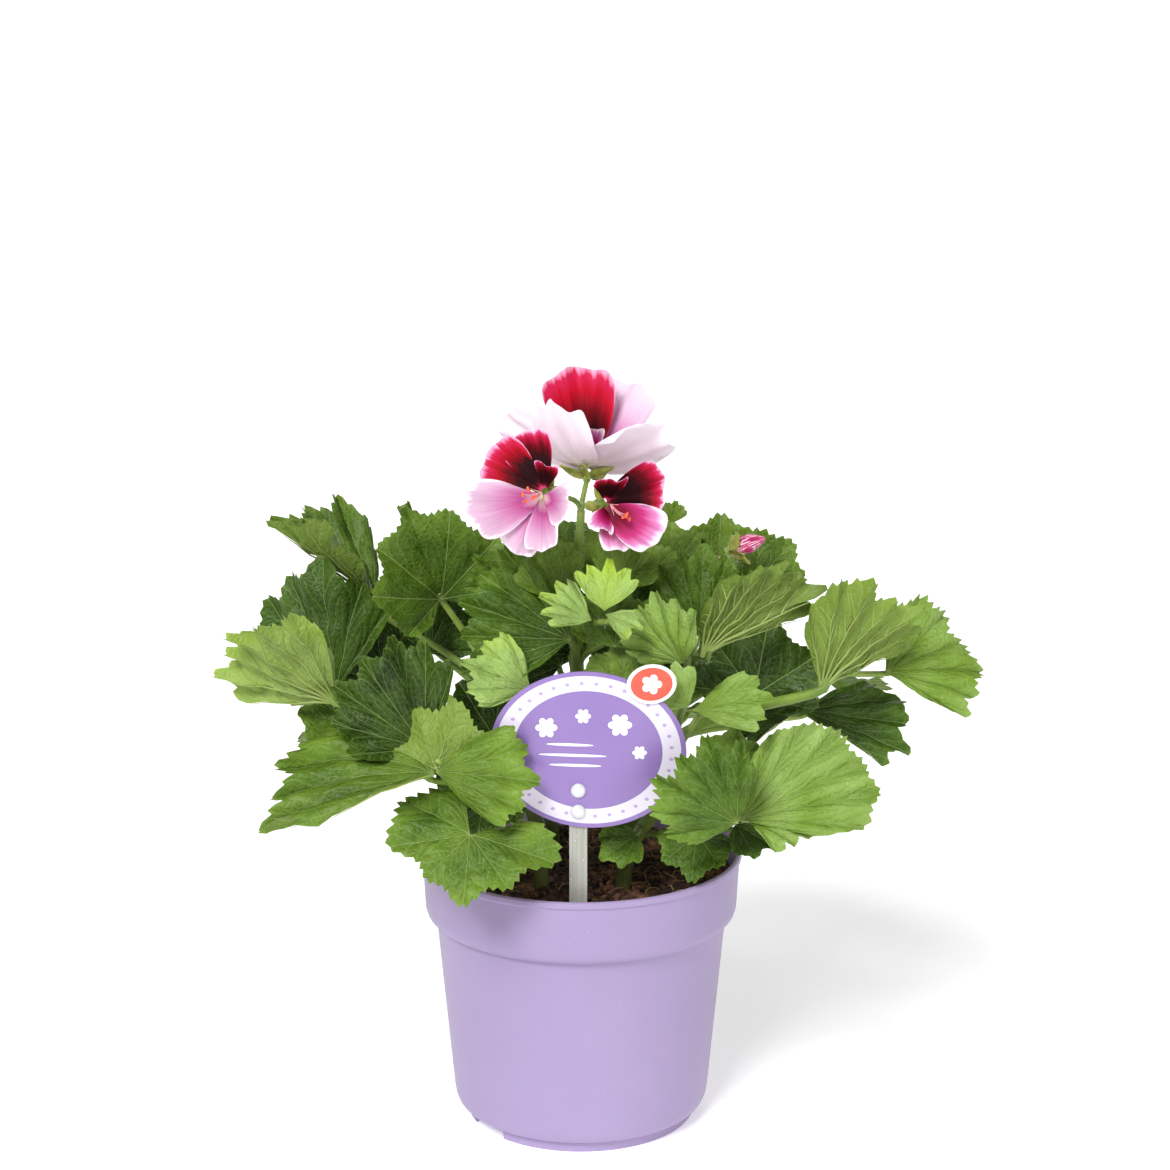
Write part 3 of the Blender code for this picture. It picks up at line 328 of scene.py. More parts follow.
def addHairs(bm, path, radius, where, draw):
    part = startMesh()
    count, length = hairShape[where]
    for _ in range(count):
        place = draw.random() * (len(path) - 1.001)
        low = int(place)
        ahead = (path[low + 1] - path[low]).normalized()
        out = Matrix.Rotation(draw.random() * math.tau, 3, ahead) @ ahead.orthogonal().normalized()
        root = path[low].lerp(path[low + 1], place - low) + out * radius(place / (len(path) - 1)) * 0.8
        way = (out + ahead * draw.uniform(-0.3, 0.4)).normalized()
        reach = length * draw.uniform(0.6, 1.2)
        turn = Vector((0, 0, 1)).rotation_difference(way).to_matrix().to_4x4()
        bmesh.ops.create_cone(
            part, cap_ends=True, segments=3, radius1=hairShape["foot"], radius2=hairShape["tip"], depth=reach,
            matrix=Matrix.Translation(root + way * reach / 2) @ turn)
    mergeInto(bm, part, greens["hair"])


def bezier(points, steps):
    a, b, c, d = (Vector(point) for point in points)
    made = []
    for index in range(steps + 1):
        t = index / steps
        u = 1 - t
        made.append(a * u**3 + b * (3 * u * u * t) + c * (3 * u * t * t) + d * t**3)
    return made


def addHairyStalk(bm, path, radius, where, draw, hairPath=None):
    addTube(bm, path, radius, 12, greens["stalk"])
    addHairs(bm, hairPath or path, radius, where, draw)


# leaves: the vein junction, the middle tip from there, the way the upper side looks, the angles to its left
# and right, how far up the shoot it grows, how light its green is, then how it is bent
def leaf(at, tip, face, spread, grows, tint, **shape):
    kept = dict(
        at=Vector(at), tip=Vector(tip), face=Vector(face), spread=spread, grows=grows, tint=tint, lobes=7,
        lobe=0.065, tooth=0.045, part=0.045, base=0.2, round=0.45, cup=0, belly=0, fold=(8, 8), sides=(0, 0),
        droop=12, pleat=0.035, ruffle=0.05, phase=at[0] * 0.37 + at[2] * 0.11, stalk=1.35)
    kept.update(shape)
    return kept


def smallLeaf(*placed, **shape):
    return leaf(*placed, lobes=5, **shape)


def shootOf(node, foot, top, radius, **leaves):
    return dict(node=node, foot=foot, top=top, radius=radius, leaves=leaves)


def bladeFrame(shape):
    along = shape["tip"].normalized()
    up = (shape["face"] - along * shape["face"].dot(along)).normalized()
    return along, up.cross(along), up


def bladeWidth(shape):
    # its angles to the left and right of the middle vein, and the angle from one lobe to the next
    left, right = (math.radians(value) for value in shape["spread"])
    return left, right, (left + right) / shape["lobes"]


def toothWave(turns):
    # a tooth that leans towards the middle of the blade
    share = turns - math.floor(turns)
    if turns < 0:
        share = 1 - share
    return 2 * (share * 3 if share < 1 / 3 else (1 - share) * 1.5) - 1


def bladeOutline(shape, out, angle, teeth, wild):
    left, right, step = bladeWidth(shape)
    side = abs(angle / (left if angle >= 0 else right))
    edge = shape["lobe"] * math.cos(math.tau * angle / step)
    edge += shape["part"] * math.cos(math.tau * angle * 3 / (left + right))  # three main parts
    edge += 0.06 * noise.noise((angle * 1.7, shape["phase"], 4.1))
    tooth = shape["tooth"] * (0.8 + 0.5 * noise.noise((angle * 3, wild, 0.3)))
    tooth *= toothWave(angle * teeth / step)
    reach = shape["tip"].length * (1 - shape["base"] * side**2.2) * (1 - shape["round"] * side**7)
    return reach * ((1 + edge * out**3 + tooth * out**10) * out)


def bladeSpot(shape, out, angle, teeth=3, wild=0.0):
    # a point of the blade, out along the angle from the middle vein, in the blade's own axes
    length = shape["tip"].length
    reach = bladeOutline(shape, out, angle, teeth, wild)
    rise = math.radians(shape["cup"])
    spin = angle * (1 + shape["belly"] * (1 - out))
    x = reach * math.cos(rise) * math.cos(spin)
    y = reach * math.cos(rise) * math.sin(spin)
    z = reach * math.sin(rise)
    ridge = abs(math.sin(math.pi * angle / bladeWidth(shape)[2])) ** 0.8
    z += shape["pleat"] * length * out**1.2 * (2 * ridge - 1.1) * (0.35 + 0.65 * out)
    swell = math.sin(3.1 * angle + shape["phase"]) + 0.6 * math.sin(6.7 * angle + 2.3 * shape["phase"] + 1)
    z += shape["ruffle"] * length * out**3 * swell
    half, sign = (0, 1) if angle >= 0 else (1, -1)
    fold = math.radians(shape["fold"][half])
    y, z = y * math.cos(fold) - sign * z * math.sin(fold), abs(y) * math.sin(fold) + z * math.cos(fold)
    bend = math.radians(shape["sides"][half]) or 0.001
    turn = bend * abs(y) / length
    y, z = sign * (length / bend - z) * math.sin(turn), length / bend - (length / bend - z) * math.cos(turn)
    bend = math.radians(shape["droop"]) or 0.001
    turn = bend * x / length
    x, z = (length / bend + z) * math.sin(turn), (length / bend + z) * math.cos(turn) - length / bend
    return x, y, z


leafDetail = {
    "rows": 15, "toothSize": 3.0, "halfThick": 0.24, "quilt": 0.0128, "crumple": 1.9, "deepen": 1.6,
    "veinRadius": 0.75, "veinReach": 0.88, "veinSteps": 8,
    "branchPairs": 4, "firstBranch": 0.2, "branchGap": 0.16, "branchReach": 0.24, "branchAngle": 0.42,
    "branchSteps": 4,
}


def crumpled(x, y, out, wild):
    dent = noise.noise((x / 9, y / 9, wild)) + 0.45 * noise.noise((x / 3.6, y / 3.6, wild + 5))
    return leafDetail["crumple"] * dent * min(1.0, out * 2.5)


def addLeaf(bm, shape, wild, draw):
    shape = dict(shape, pleat=shape["pleat"] * leafDetail["deepen"])
    length = shape["tip"].length
    along, across, up = bladeFrame(shape)
    left, right, step = bladeWidth(shape)
    teeth = max(2, min(9, round(step * length * 0.9 / leafDetail["toothSize"])))

    def spot(out, angle, lift):
        x, y, z = bladeSpot(shape, out, angle, teeth, wild)
        return shape["at"] + along * x + across * y + up * (z + crumpled(x, y, out, wild) + lift)

    def place(out, turn, lift):
        angle = (left + right) * (turn + 1) / 2 - right
        fromVein = abs(angle / step - round(angle / step))
        quilt = length * math.sin(math.tau * (6 * out - 6.5 * fromVein)) * out * (1 - out)
        return spot(out, angle, quilt * leafDetail["quilt"] + lift * leafDetail["halfThick"]), angle / step

    addSheet(bm, leafDetail["rows"], shape["lobes"] * teeth * 3, place, (shape["tint"], draw.random()))
    for vein in range(math.ceil(-right / step + 0.2), math.floor(left / step - 0.2) + 1):
        thick = leafDetail["veinRadius"] * min(1.2, length / 40) * (1.0 if vein == 0 else 0.75)
        addVein(bm, spot, vein * step, thick)
        if shape["face"].y >= 0.5:  # its underside shows in the photo's view
            for branch in range(2 * leafDetail["branchPairs"]):
                side = 1 if branch % 2 else -1
                start = leafDetail["firstBranch"] + leafDetail["branchGap"] * (branch // 2)
                addBranch(bm, spot, start, vein, side, thick * 0.45, (left, right, step))


def addVein(bm, spot, angle, thick):
    # a raised vein, half sunk in the underside
    path = []
    for index in range(leafDetail["veinSteps"] + 1):
        share = index / leafDetail["veinSteps"]
        sunk = thick * (1 - 0.85 * share) * 0.8 + leafDetail["halfThick"] * 0.5
        path.append(spot(leafDetail["veinReach"] * share, angle, -sunk))
    addTube(bm, path, lambda share: thick * (1 - 0.85 * share), 6, greens["vein"])


def addBranch(bm, spot, start, vein, side, thick, width):
    left, right, step = width
    path = []
    for index in range(leafDetail["branchSteps"] + 1):
        share = index / leafDetail["branchSteps"]
        angle = (vein + side * leafDetail["branchAngle"] * share**0.8) * step
        out = start + leafDetail["branchReach"] * share
        path.append(spot(out, max(-right, min(left, angle)), -leafDetail["halfThick"] - 0.1))
    addTube(bm, path, lambda share: thick * (1 - 0.6 * share), 5, greens["vein"])


def shootPath(shoot):
    x, y = shoot["foot"]
    foot = Vector((x, y, 90.0))
    soil = Vector((x, y, 107.0))
    top = Vector(shoot["top"])
    return [foot] + bezier((soil, soil + Vector((0, 0, 18)), top - Vector((0, 0, 16)), top), 12)


def pointOn(path, share):
    place = 1 + share * (len(path) - 2)
    low = min(int(place), len(path) - 2)
    return path[low].lerp(path[low + 1], place - low)


def petiolePath(start, shape):
    # rises from the shoot and meets the blade from below, just past the vein junction
    along, _, up = bladeFrame(shape)
    x, _, z = bladeSpot(shape, 3.4 / shape["tip"].length, 0.0)
    end = shape["at"] + along * x + up * (z - 0.2)
    span = (end - start).length
    arrive = (along * 0.3 + up * 0.95).normalized()
    lift = Vector((0, 0, 1)) * 0.3 + (end - start).normalized() * 0.12
    return bezier((start, start + lift * span, end - arrive * min(span * 0.33, 11.0), end), 10)


def buildShoot(name, shoot, draw):
    bm = startMesh()
    path = shootPath(shoot)
    addHairyStalk(bm, path, lambda share: shoot["radius"] * (1 - 0.28 * share), "shoot", draw, path[1:])
    for index, shape in enumerate(shoot["leaves"].values()):
        addLeaf(bm, shape, index * 7.3 + shoot["foot"][0], draw)
        stalk = petiolePath(pointOn(path, shape["grows"]), shape)
        addTube(bm, stalk, lambda share: shape["stalk"] * (1.15 - 0.3 * share), 8, greens["stalk"])
        addHairs(bm, stalk, lambda share: shape["stalk"], "petiole", draw)
    finishMesh(name, bm, [leafGreen, stalkGreen, plantHair, veinGreen], [shoot["node"]])


shoots = {
    "leavesLeft": shootOf(
        "leafy_shoot_left", foot=(-16, 8), top=(-34, 8, 172), radius=3.5,
        farFan=leaf((-81, 28, 206), (-40, 6, 33), (0.6, -0.2, 0.77), (64, 50), 0.9, 0.3, fold=(34, 34),
            pleat=0.04, droop=0),
        cup=leaf((-56, 10, 213), (-17, 9, 33), (-0.2, -0.45, 0.85), (125, 125), 0.96, 0.27, cup=34, base=0.15,
            ruffle=0.07),
        upright=leaf((-98, 5, 177), (-8, 8, 48), (-0.5, -0.8, 0.2), (90, 48), 0.7, 0.15, fold=(0, -30)),
        outer=leaf((-95.6, -22, 179.7), (-36.2, -4.8, 30.5), (0.25, 0.85, 0.45), (50, 60), 0.5, 0.75,
            pleat=0.038, fold=(10, 0)),
        shaded=smallLeaf((-80, 34, 171), (-6, 1, 35), (0.2, -0.9, 0.2), (80, 70), 0.6, 0.05),
        inner=smallLeaf((-62, 20, 188), (10, 6, 22), (0.1, -0.9, 0.5), (80, 80), 0.8, 0.1),
    ),
    "leavesFrontLeft": shootOf(
        "leafy_shoot_front_left", foot=(-16, -20), top=(-30, -34, 150), radius=3.3,
        broad=leaf((-59.7, -50, 169.6), (-12, 9, 38), (-0.15, -0.8, 0.55), (88, 48), 0.96, 0.06, cup=6,
            ruffle=0.07),
        longFold=leaf((-56, -64, 164), (-60, -7, -13), (-0.1, -0.5, 0.85), (18, 70), 0.75, 0.35, fold=(40, 0),
            belly=0.8, base=0.42, ruffle=0.06),
        longFoldRight=smallLeaf((-54.6, -66.3, 165.4), (36, -7, 0), (0.1, -0.9, 0.4), (48, 46), 0.65, 0.4,
            droop=26),
        longFoldBack=smallLeaf((-55, -62, 165), (9, 7, 22), (0.3, 0.8, -0.3), (95, 118), 0.85, 0.45,
            base=0.1),
        overRim=leaf((-42, -70, 141.5), (-2, -16.6, -17.2), (0, -0.7, 0.7), (112, 168), 0.45, 0.34,
            base=-0.75, fold=(-8, -8), part=0.1, droop=14),
        small=smallLeaf((-97, -10, 168), (-13, -2, 5), (-0.1, -0.8, 0.5), (110, 110), 0.4, 0.3),
        shaded=smallLeaf((-34, -30, 168), (-12, 0, 20), (-0.1, -0.8, 0.5), (100, 100), 0.9, 0.1),
        hanging=smallLeaf((-36, -46, 158), (-3, -9, -20), (0.2, -0.8, 0.5), (100, 120), 0.85, 0.15),
    ),
    "leavesCentre": shootOf(
        "leafy_shoot_centre", foot=(0, -2), top=(-2, -16, 218), radius=3.5,
        broad=leaf((-4, -33, 208), (-40, 0, 15), (-0.15, -0.85, 0.5), (62, 60), 0.75, 0.2, ruffle=0.07),
        brightLow=smallLeaf((-19.4, -46, 192), (-22.7, -3, 10.8), (-0.1, -0.85, 0.5), (50, 62), 0.5, 0.72),
        brightLeft=smallLeaf((4, -45, 219), (-17, -2, 10), (-0.2, -0.75, 0.6), (48, 48), 0.9, 0.8, lobe=0.12),
        brightTop=smallLeaf((9, -46, 223), (2, 5, 17), (0.1, -0.95, 0.3), (62, 55), 0.95, 0.85, lobe=0.13,
            base=0.1),
        brightRight=leaf((9.5, -47.5, 222), (13, -5, -4), (0.1, -0.7, 0.7), (40, 50), 0.8, 0.75, lobes=3),
        ruffled=leaf((-15, -3, 221), (-2, 5, 20), (0, -0.8, 0.6), (62, 110), 0.96, 0.4, ruffle=0.09),
        bronze=smallLeaf((-27, -10, 223), (-14, 0, 12), (-0.2, -0.8, 0.55), (80, 16), 0.8, 0.3),
        young=leaf((-26, -7, 226), (-1, 5, 16), (-0.1, -0.9, 0.4), (14, 45), 0.88, 0.9, lobes=3),
        toothed=smallLeaf((-6, 8, 230), (14, 4, 9), (0, -0.85, 0.5), (80, 80), 0.85, 0.35),
        behind=smallLeaf((22, 0, 219), (0, 7, 21), (0, -0.85, 0.5), (95, 115), 0.7, 0.4),
        aboveCard=smallLeaf((18, -30, 184), (-3, 2, 21), (-0.1, -0.85, 0.5), (100, 60), 0.6, 0.5),
        innerLeft=smallLeaf((-4, -10, 196), (-6, 4, 26), (0, -0.85, 0.5), (100, 100), 0.6, 0.1),
        innerRight=smallLeaf((20, -14, 206), (4, 4, 25), (0, -0.85, 0.5), (66, 90), 0.55, 0.25),
        heart=smallLeaf((13, -33, 205), (2, 3, 22), (0, -0.9, 0.4), (90, 90), 0.7, 0.3),
        crownLeft=smallLeaf((-9, -27, 226), (-5, 3, 18), (0, -0.85, 0.5), (85, 70), 0.7, 0.35),
        crownRight=smallLeaf((14, -24, 229), (7, 3, 16), (0, -0.85, 0.5), (85, 85), 0.9, 0.4),
        deepLeft=smallLeaf((-8, 5, 187), (-12, 3, 22), (0, -0.8, 0.5), (110, 95), 0.45, 0.05),
        deepRight=smallLeaf((20, 3, 184), (6, 2, 24), (0, -0.8, 0.5), (90, 110), 0.35, 0.1),
    ),
    "leavesRight": shootOf(
        "leafy_shoot_right", foot=(18, 2), top=(44, -16, 196), radius=3.7,
        upright=leaf((46, -31, 209), (1, 5, 32), (-0.1, -0.95, 0.2), (62, 62), 0.7, 0.25, fold=(-10, -10)),
        folded=leaf((39, -45, 202), (-12, -2, 24), (-0.6, -0.75, 0.2), (80, 60), 0.8, 0.55),
        fan=leaf((45.7, -40, 203.8), (42, 8, 25), (-0.4, 0.75, 0.5), (20, 66), 0.92, 0.25, pleat=0.034),
        byBuds=smallLeaf((70, 8, 222), (14, 5, 13), (0.2, -0.8, 0.5), (105, 105), 0.75, 0.35),
        greatCup=leaf((92.7, -32, 188.3), (36, 6, 28), (-0.3, 0.75, 0.55), (46, 72), 0.45, 0.4, cup=8,
            base=0.1, stalk=2.2),
        outer=leaf((121, -8, 188), (37.4, 2.9, 3.8), (-0.1, -0.75, 0.6), (85, 52), 0.65, 0.5, pleat=0.036,
            droop=32, base=0.12),
        lower=smallLeaf((88, 2, 169), (42, -3, -13), (0, -0.6, 0.8), (52, 22), 0.5, 0.15),
        deep=smallLeaf((68, -20, 182), (5, 2, 28), (0, -0.85, 0.4), (115, 115), 0.7, 0.1),
        lowerLeft=smallLeaf((84, 2, 167), (-24, -2, -3), (0, -0.6, 0.8), (42, 42), 0.5, 0.15),
    ),
    "leavesFrontRight": shootOf(
        "leafy_shoot_front_right", foot=(17, -22), top=(36, -34, 158), radius=3.2,
        greatLight=leaf((61, -66, 146), (51, 3, 11.6), (-0.2, -0.85, 0.5), (72, 28), 0.8, 0.55, base=0.42,
            sides=(-20, -30), part=0.02, lobe=0.035, droop=20),
        flap=smallLeaf((62, -62, 147), (23, -7, -5), (0, -0.5, 0.85), (42, 42), 0.7, 0.5),
        overCard=leaf((59, -74, 147.5), (-12, -3, 31), (-0.35, -0.85, 0.3), (104, 44), 0.35, 0.3, base=0.15),
        nearSoil=smallLeaf((22, -40, 131), (-13, -6, -6), (0, -0.6, 0.8), (80, 80), 0.4, 0.3),
        lowMiddle=smallLeaf((45, -38, 130), (-2, -12, -12), (0, -0.7, 0.7), (105, 105), 0.3, 0.2),
        lowRight=smallLeaf((60, -40, 135), (15, -5, -5), (0, -0.6, 0.8), (90, 90), 0.55, 0.2),
        crinkled=smallLeaf((58, -38, 160), (2, -2, 13), (0, -0.85, 0.4), (110, 110), 0.85, 0.5, ruffle=0.1),
        lightSmall=smallLeaf((41, -50, 186), (-5, 0, 16), (0, -0.9, 0.4), (80, 38), 0.96, 0.7),
        serrated=smallLeaf((43, -51, 185), (27, -3, 7), (0, -0.8, 0.6), (36, 45), 0.85, 0.55),
    ),
    "leavesBackRight": shootOf(
        "leafy_shoot_back_right", foot=(12, 22), top=(38, 24, 205), radius=3.4,
        crestLeft=smallLeaf((37, 12, 225), (-1, 4, 17), (0, -0.8, 0.5), (110, 75), 0.8, 0.4),
        crestTip=smallLeaf((36, 20, 242), (2, 3, 8), (0, -0.8, 0.5), (60, 60), 0.95, 0.4),
        crestRight=smallLeaf((55, 16, 226), (1, 6, 18), (0, -0.7, 0.6), (100, 115), 0.88, 0.35),
        outer=smallLeaf((62, 58, 188), (28, 20, 6), (0.25, 0.3, 0.9), (130, 130), 0.7, 0.35),
        rear=smallLeaf((30, 72, 195), (7.7, 32.6, 2), (0, 0.3, 0.95), (130, 130), 0.75, 0.4),
        side=smallLeaf((92, 50, 170), (32, 16, -6), (0.3, 0.2, 0.9), (105, 105), 0.5, 0.25),
        low=smallLeaf((44, 62, 152), (18, 28, -14), (0.1, 0.5, 0.85), (100, 100), 0.35, 0.2),
        high=smallLeaf((8, 46, 212), (-2, 26, 12), (0, 0, 1), (105, 105), 0.85, 0.5),
    ),
    "leavesBackLeft": shootOf(
        "leafy_shoot_back_left", foot=(-12, 24), top=(-32, 32, 190), radius=3.3,
        outer=smallLeaf((-74, 60, 186), (-29, 20, 8), (-0.3, 0.3, 0.9), (105, 105), 0.8, 0.4),
        rear=smallLeaf((-42, 76, 176), (-11.5, 32.4, -4), (0, 0.35, 0.94), (105, 105), 0.65, 0.35),
        high=smallLeaf((-30, 50, 208), (-12, 26, 14), (-0.1, 0.1, 1), (130, 130), 0.95, 0.5),
        side=smallLeaf((-82, 45, 150), (-34, 14, -10), (-0.3, 0.2, 0.9), (130, 130), 0.4, 0.2),
        low=smallLeaf((-18, 66, 150), (-8, 32, -12), (0, 0.5, 0.85), (100, 100), 0.35, 0.2),
    ),
}
leafDraw = random.Random(31)
for name, shoot in shoots.items():
    buildShoot(name, shoot, leafDraw)
print("leafy shoots:", len(shoots))


# blooms: petals start at the hub of their pair or trio, in the seats that the solids have
petalLooks = {
    "upper": {
        "glow": 0.03, "feather": 0.26, "sides": 0.06, "line": (0.40, 0.05, 0.12), "deep": (0.46, 0.012, 0.08),
        "face": [(0.0, (0.55, 0.06, 0.16)), (0.08, (0.16, 0.002, 0.012)), (0.18, (0.030, 0.0005, 0.002)),
                 (0.42, (0.022, 0.0005, 0.002)), (0.58, (0.16, 0.001, 0.006)), (0.76, (0.48, 0.003, 0.018)),
                 (0.92, (0.54, 0.015, 0.07)), (1.0, (0.82, 0.36, 0.56))],
        "rich": [(0.0, (0.55, 0.06, 0.16)), (0.08, (0.10, 0.001, 0.008)), (0.18, (0.012, 0.0004, 0.002)),
                 (0.56, (0.016, 0.0004, 0.002)), (0.74, (0.10, 0.001, 0.005)), (0.88, (0.38, 0.004, 0.03)),
                 (0.95, (0.50, 0.03, 0.11)), (1.0, (0.84, 0.42, 0.62))],
        "pale": [(0.0, (0.40, 0.02, 0.14)), (0.35, (0.46, 0.06, 0.25)), (0.55, (0.62, 0.30, 0.50)),
                 (0.75, (0.72, 0.50, 0.66)), (1.0, (0.82, 0.64, 0.76))],
        "back": [(0.0, (0.80, 0.50, 0.60)), (0.5, (0.60, 0.08, 0.20)), (0.85, (0.56, 0.05, 0.15)),
                 (1.0, (0.90, 0.68, 0.80))],
    },
    "lower": {
        "glow": 0.15, "feather": 0.25, "sides": 0.25, "line": (0.66, 0.16, 0.46), "deep": (0.46, 0.02, 0.14),
        "face": [(0.0, (0.78, 0.68, 0.36)), (0.12, (0.60, 0.34, 0.42)), (0.30, (0.40, 0.06, 0.22)),
                 (0.55, (0.50, 0.18, 0.36)), (0.80, (0.60, 0.36, 0.51)), (0.95, (0.66, 0.44, 0.58)),
                 (1.0, (0.84, 0.70, 0.80))],
        "rich": [(0.0, (0.05, 0.0, 0.004)), (0.35, (0.20, 0.002, 0.024)), (0.66, (0.46, 0.02, 0.15)),
                 (0.88, (0.62, 0.20, 0.44)), (1.0, (0.93, 0.78, 0.88))],
        "pale": [(0.0, (0.86, 0.78, 0.56)), (0.25, (0.92, 0.74, 0.86)), (1.0, (0.93, 0.78, 0.90))],
        "back": [(0.0, (0.86, 0.78, 0.56)), (0.25, (0.92, 0.74, 0.86)), (1.0, (0.93, 0.78, 0.90))],
    },
}


def petalMaterial(name, look):
    made, tree, shader = newMaterial(
        name, look["face"][-1][1], 0.55, Subsurface_Weight=look["glow"], Subsurface_Radius=(1.0, 0.6, 0.8),
        Subsurface_Scale=0.003, Specular_IOR_Level=0.08)
    u, v, tint, upper, wild = bladeInputs(tree)
    streaks = noiseOf(tree, 1.0, 3.0, pointOf(tree, u * 9.0, v * 1.6, wild * 40.0))
    edge = v + (streaks - 0.5) * look["feather"] + abs(u) ** 3.0 * look["sides"]
    lines = noiseOf(tree, 1.0, 2.0, pointOf(tree, u * 26.0, v))
    veins = band(lines, 0.55, 0.75)
    face = blendColour(tree, veins * 0.35, rampOf(tree, edge, look["face"]), look["line"], "MULTIPLY")
    face = blendColour(tree, band(tint, 0.7, 0.95), face, rampOf(tree, edge, look["rich"]))
    face = blendColour(tree, 1.0 - band(tint, 0.05, 0.28), face, rampOf(tree, edge, look["pale"]))
    rich = rampOf(tree, edge, [(0.0, look["deep"]), (0.8, look["deep"]), (0.97, look["back"][-1][1])])
    behind = blendColour(tree, band(tint, 0.4, 0.9), rampOf(tree, edge, look["back"]), rich)
    behind = blendColour(tree, veins * 0.2, behind, look["line"], "MULTIPLY")
    feed(shader, "Base Color", blendColour(tree, upper, behind, face))
    bumpInto(shader, lines, 0.35, 0.0004)
    return made


def petal(tip, face, spread, tint, **shape):
    kept = dict(
        lobes=3, lobe=0.018, tooth=0.015, part=0.0, base=0.12, round=0.3, fold=(0, 0), droop=0, belly=0.4,
        pleat=0.0, phase=tip[0] * 0.2)
    kept.update(shape)
    return leaf((0, 0, 0), tip, face, spread, 0, tint, **kept)


bloomSize = {"hubRadius": 1.9, "rootRadius": 0.95, "gap": 0.35}


def bloomSeats(bloom):
    axis = Vector(bloom["axis"]).normalized()
    side = Vector(bloom["side"])
    side = (side - axis * side.dot(axis)).normalized()
    hub = Vector(bloom["hub"])
    half = bloomSize["hubRadius"] + bloomSize["gap"] / 2
    reach = bloomSize["hubRadius"] + bloomSize["rootRadius"] + bloomSize["gap"]
    root = hub + axis * math.sqrt(reach**2 - half**2)
    cup = hub - axis * (bloomSize["hubRadius"] + bloomSize["gap"])
    return hub + side * half, hub - side * half, root, cup


petalDetail = {
    "rows": 18, "columns": 32, "teeth": 11, "halfThick": 0.18, "frill": 0.05, "frillTurns": 8.0,
    "flute": 0.015, "fluteTurns": 14, "crumple": 1.1, "claw": 1.6,
}


def addPetal(bm, shape, hub, draw):
    length = shape["tip"].length
    along, across, up = bladeFrame(shape)
    left, right, _ = bladeWidth(shape)
    wild = draw.uniform(0, 50)

    def place(out, turn, lift):
        angle = (left + right) * (turn + 1) / 2 - right
        x, y, z = bladeSpot(shape, out, angle, petalDetail["teeth"], wild)
        wave = 0.7 * math.sin(petalDetail["frillTurns"] * turn + wild)
        wave += noise.noise((turn * 4, out * 2, wild))
        flute = math.sin(petalDetail["fluteTurns"] * turn + wild) * (1 - abs(turn))
        z += petalDetail["frill"] * length * out**4 * wave
        z += petalDetail["crumple"] * out**2 * noise.noise((x / 6, y / 6, wild))
        z += petalDetail["flute"] * length * out * flute
        y += petalDetail["claw"] * turn * (1 - out) ** 3  # gives the petal's foot its width
        return hub + along * x + across * y + up * (z + lift * petalDetail["halfThick"]), turn

    addSheet(bm, petalDetail["rows"], petalDetail["columns"], place, (shape["tint"], draw.random()))


stamenShape = {
    "sag": 1.2, "filament": lambda share: 0.32 - 0.12 * share, "style": lambda share: 0.25 - 0.15 * share,
    "anther": lambda share: 0.55 if 0.1 < share < 0.9 else 0.35, "antherSpots": (-1.1, -0.5, 0.5, 1.1),
}


def anyWay(draw):
    return Vector([draw.uniform(-1, 1) for _ in range(3)])


def buildStamens(name, root, tips, node, draw):
    bm = startMesh()
    for tip in tips:
        end = root + Vector(tip)
        middle = (root + end) / 2 - Vector((0, 0, stamenShape["sag"]))
        addTube(bm, bezier((root, middle, middle, end), 8), stamenShape["filament"], 6, 0)
        side = anyWay(draw).cross(Vector(tip).normalized()).normalized()
        addTube(bm, [end + side * spot for spot in stamenShape["antherSpots"]], stamenShape["anther"], 8, 1)
    for _ in range(3):  # the style
        lean = Vector((draw.uniform(-0.5, 0.5), 0, draw.uniform(-0.5, 0.5)))
        way = (Vector(tips[0]).normalized() + lean) * 6
        addTube(bm, [root, root + way * 0.5, root + way], stamenShape["style"], 5, 0)
    finishMesh(name, bm, [filamentRed, antherOrange], [node])


petalMaterials = {where: petalMaterial(where + "Petal", look) for where, look in petalLooks.items()}
filamentRed = mottled("filamentRed", (0.70, 0.18, 0.20), (0.90, 0.50, 0.52), 400.0, 0.45)
antherOrange = mottled("antherOrange", (0.66, 0.07, 0.02), (0.88, 0.17, 0.04), 900.0, 0.6)

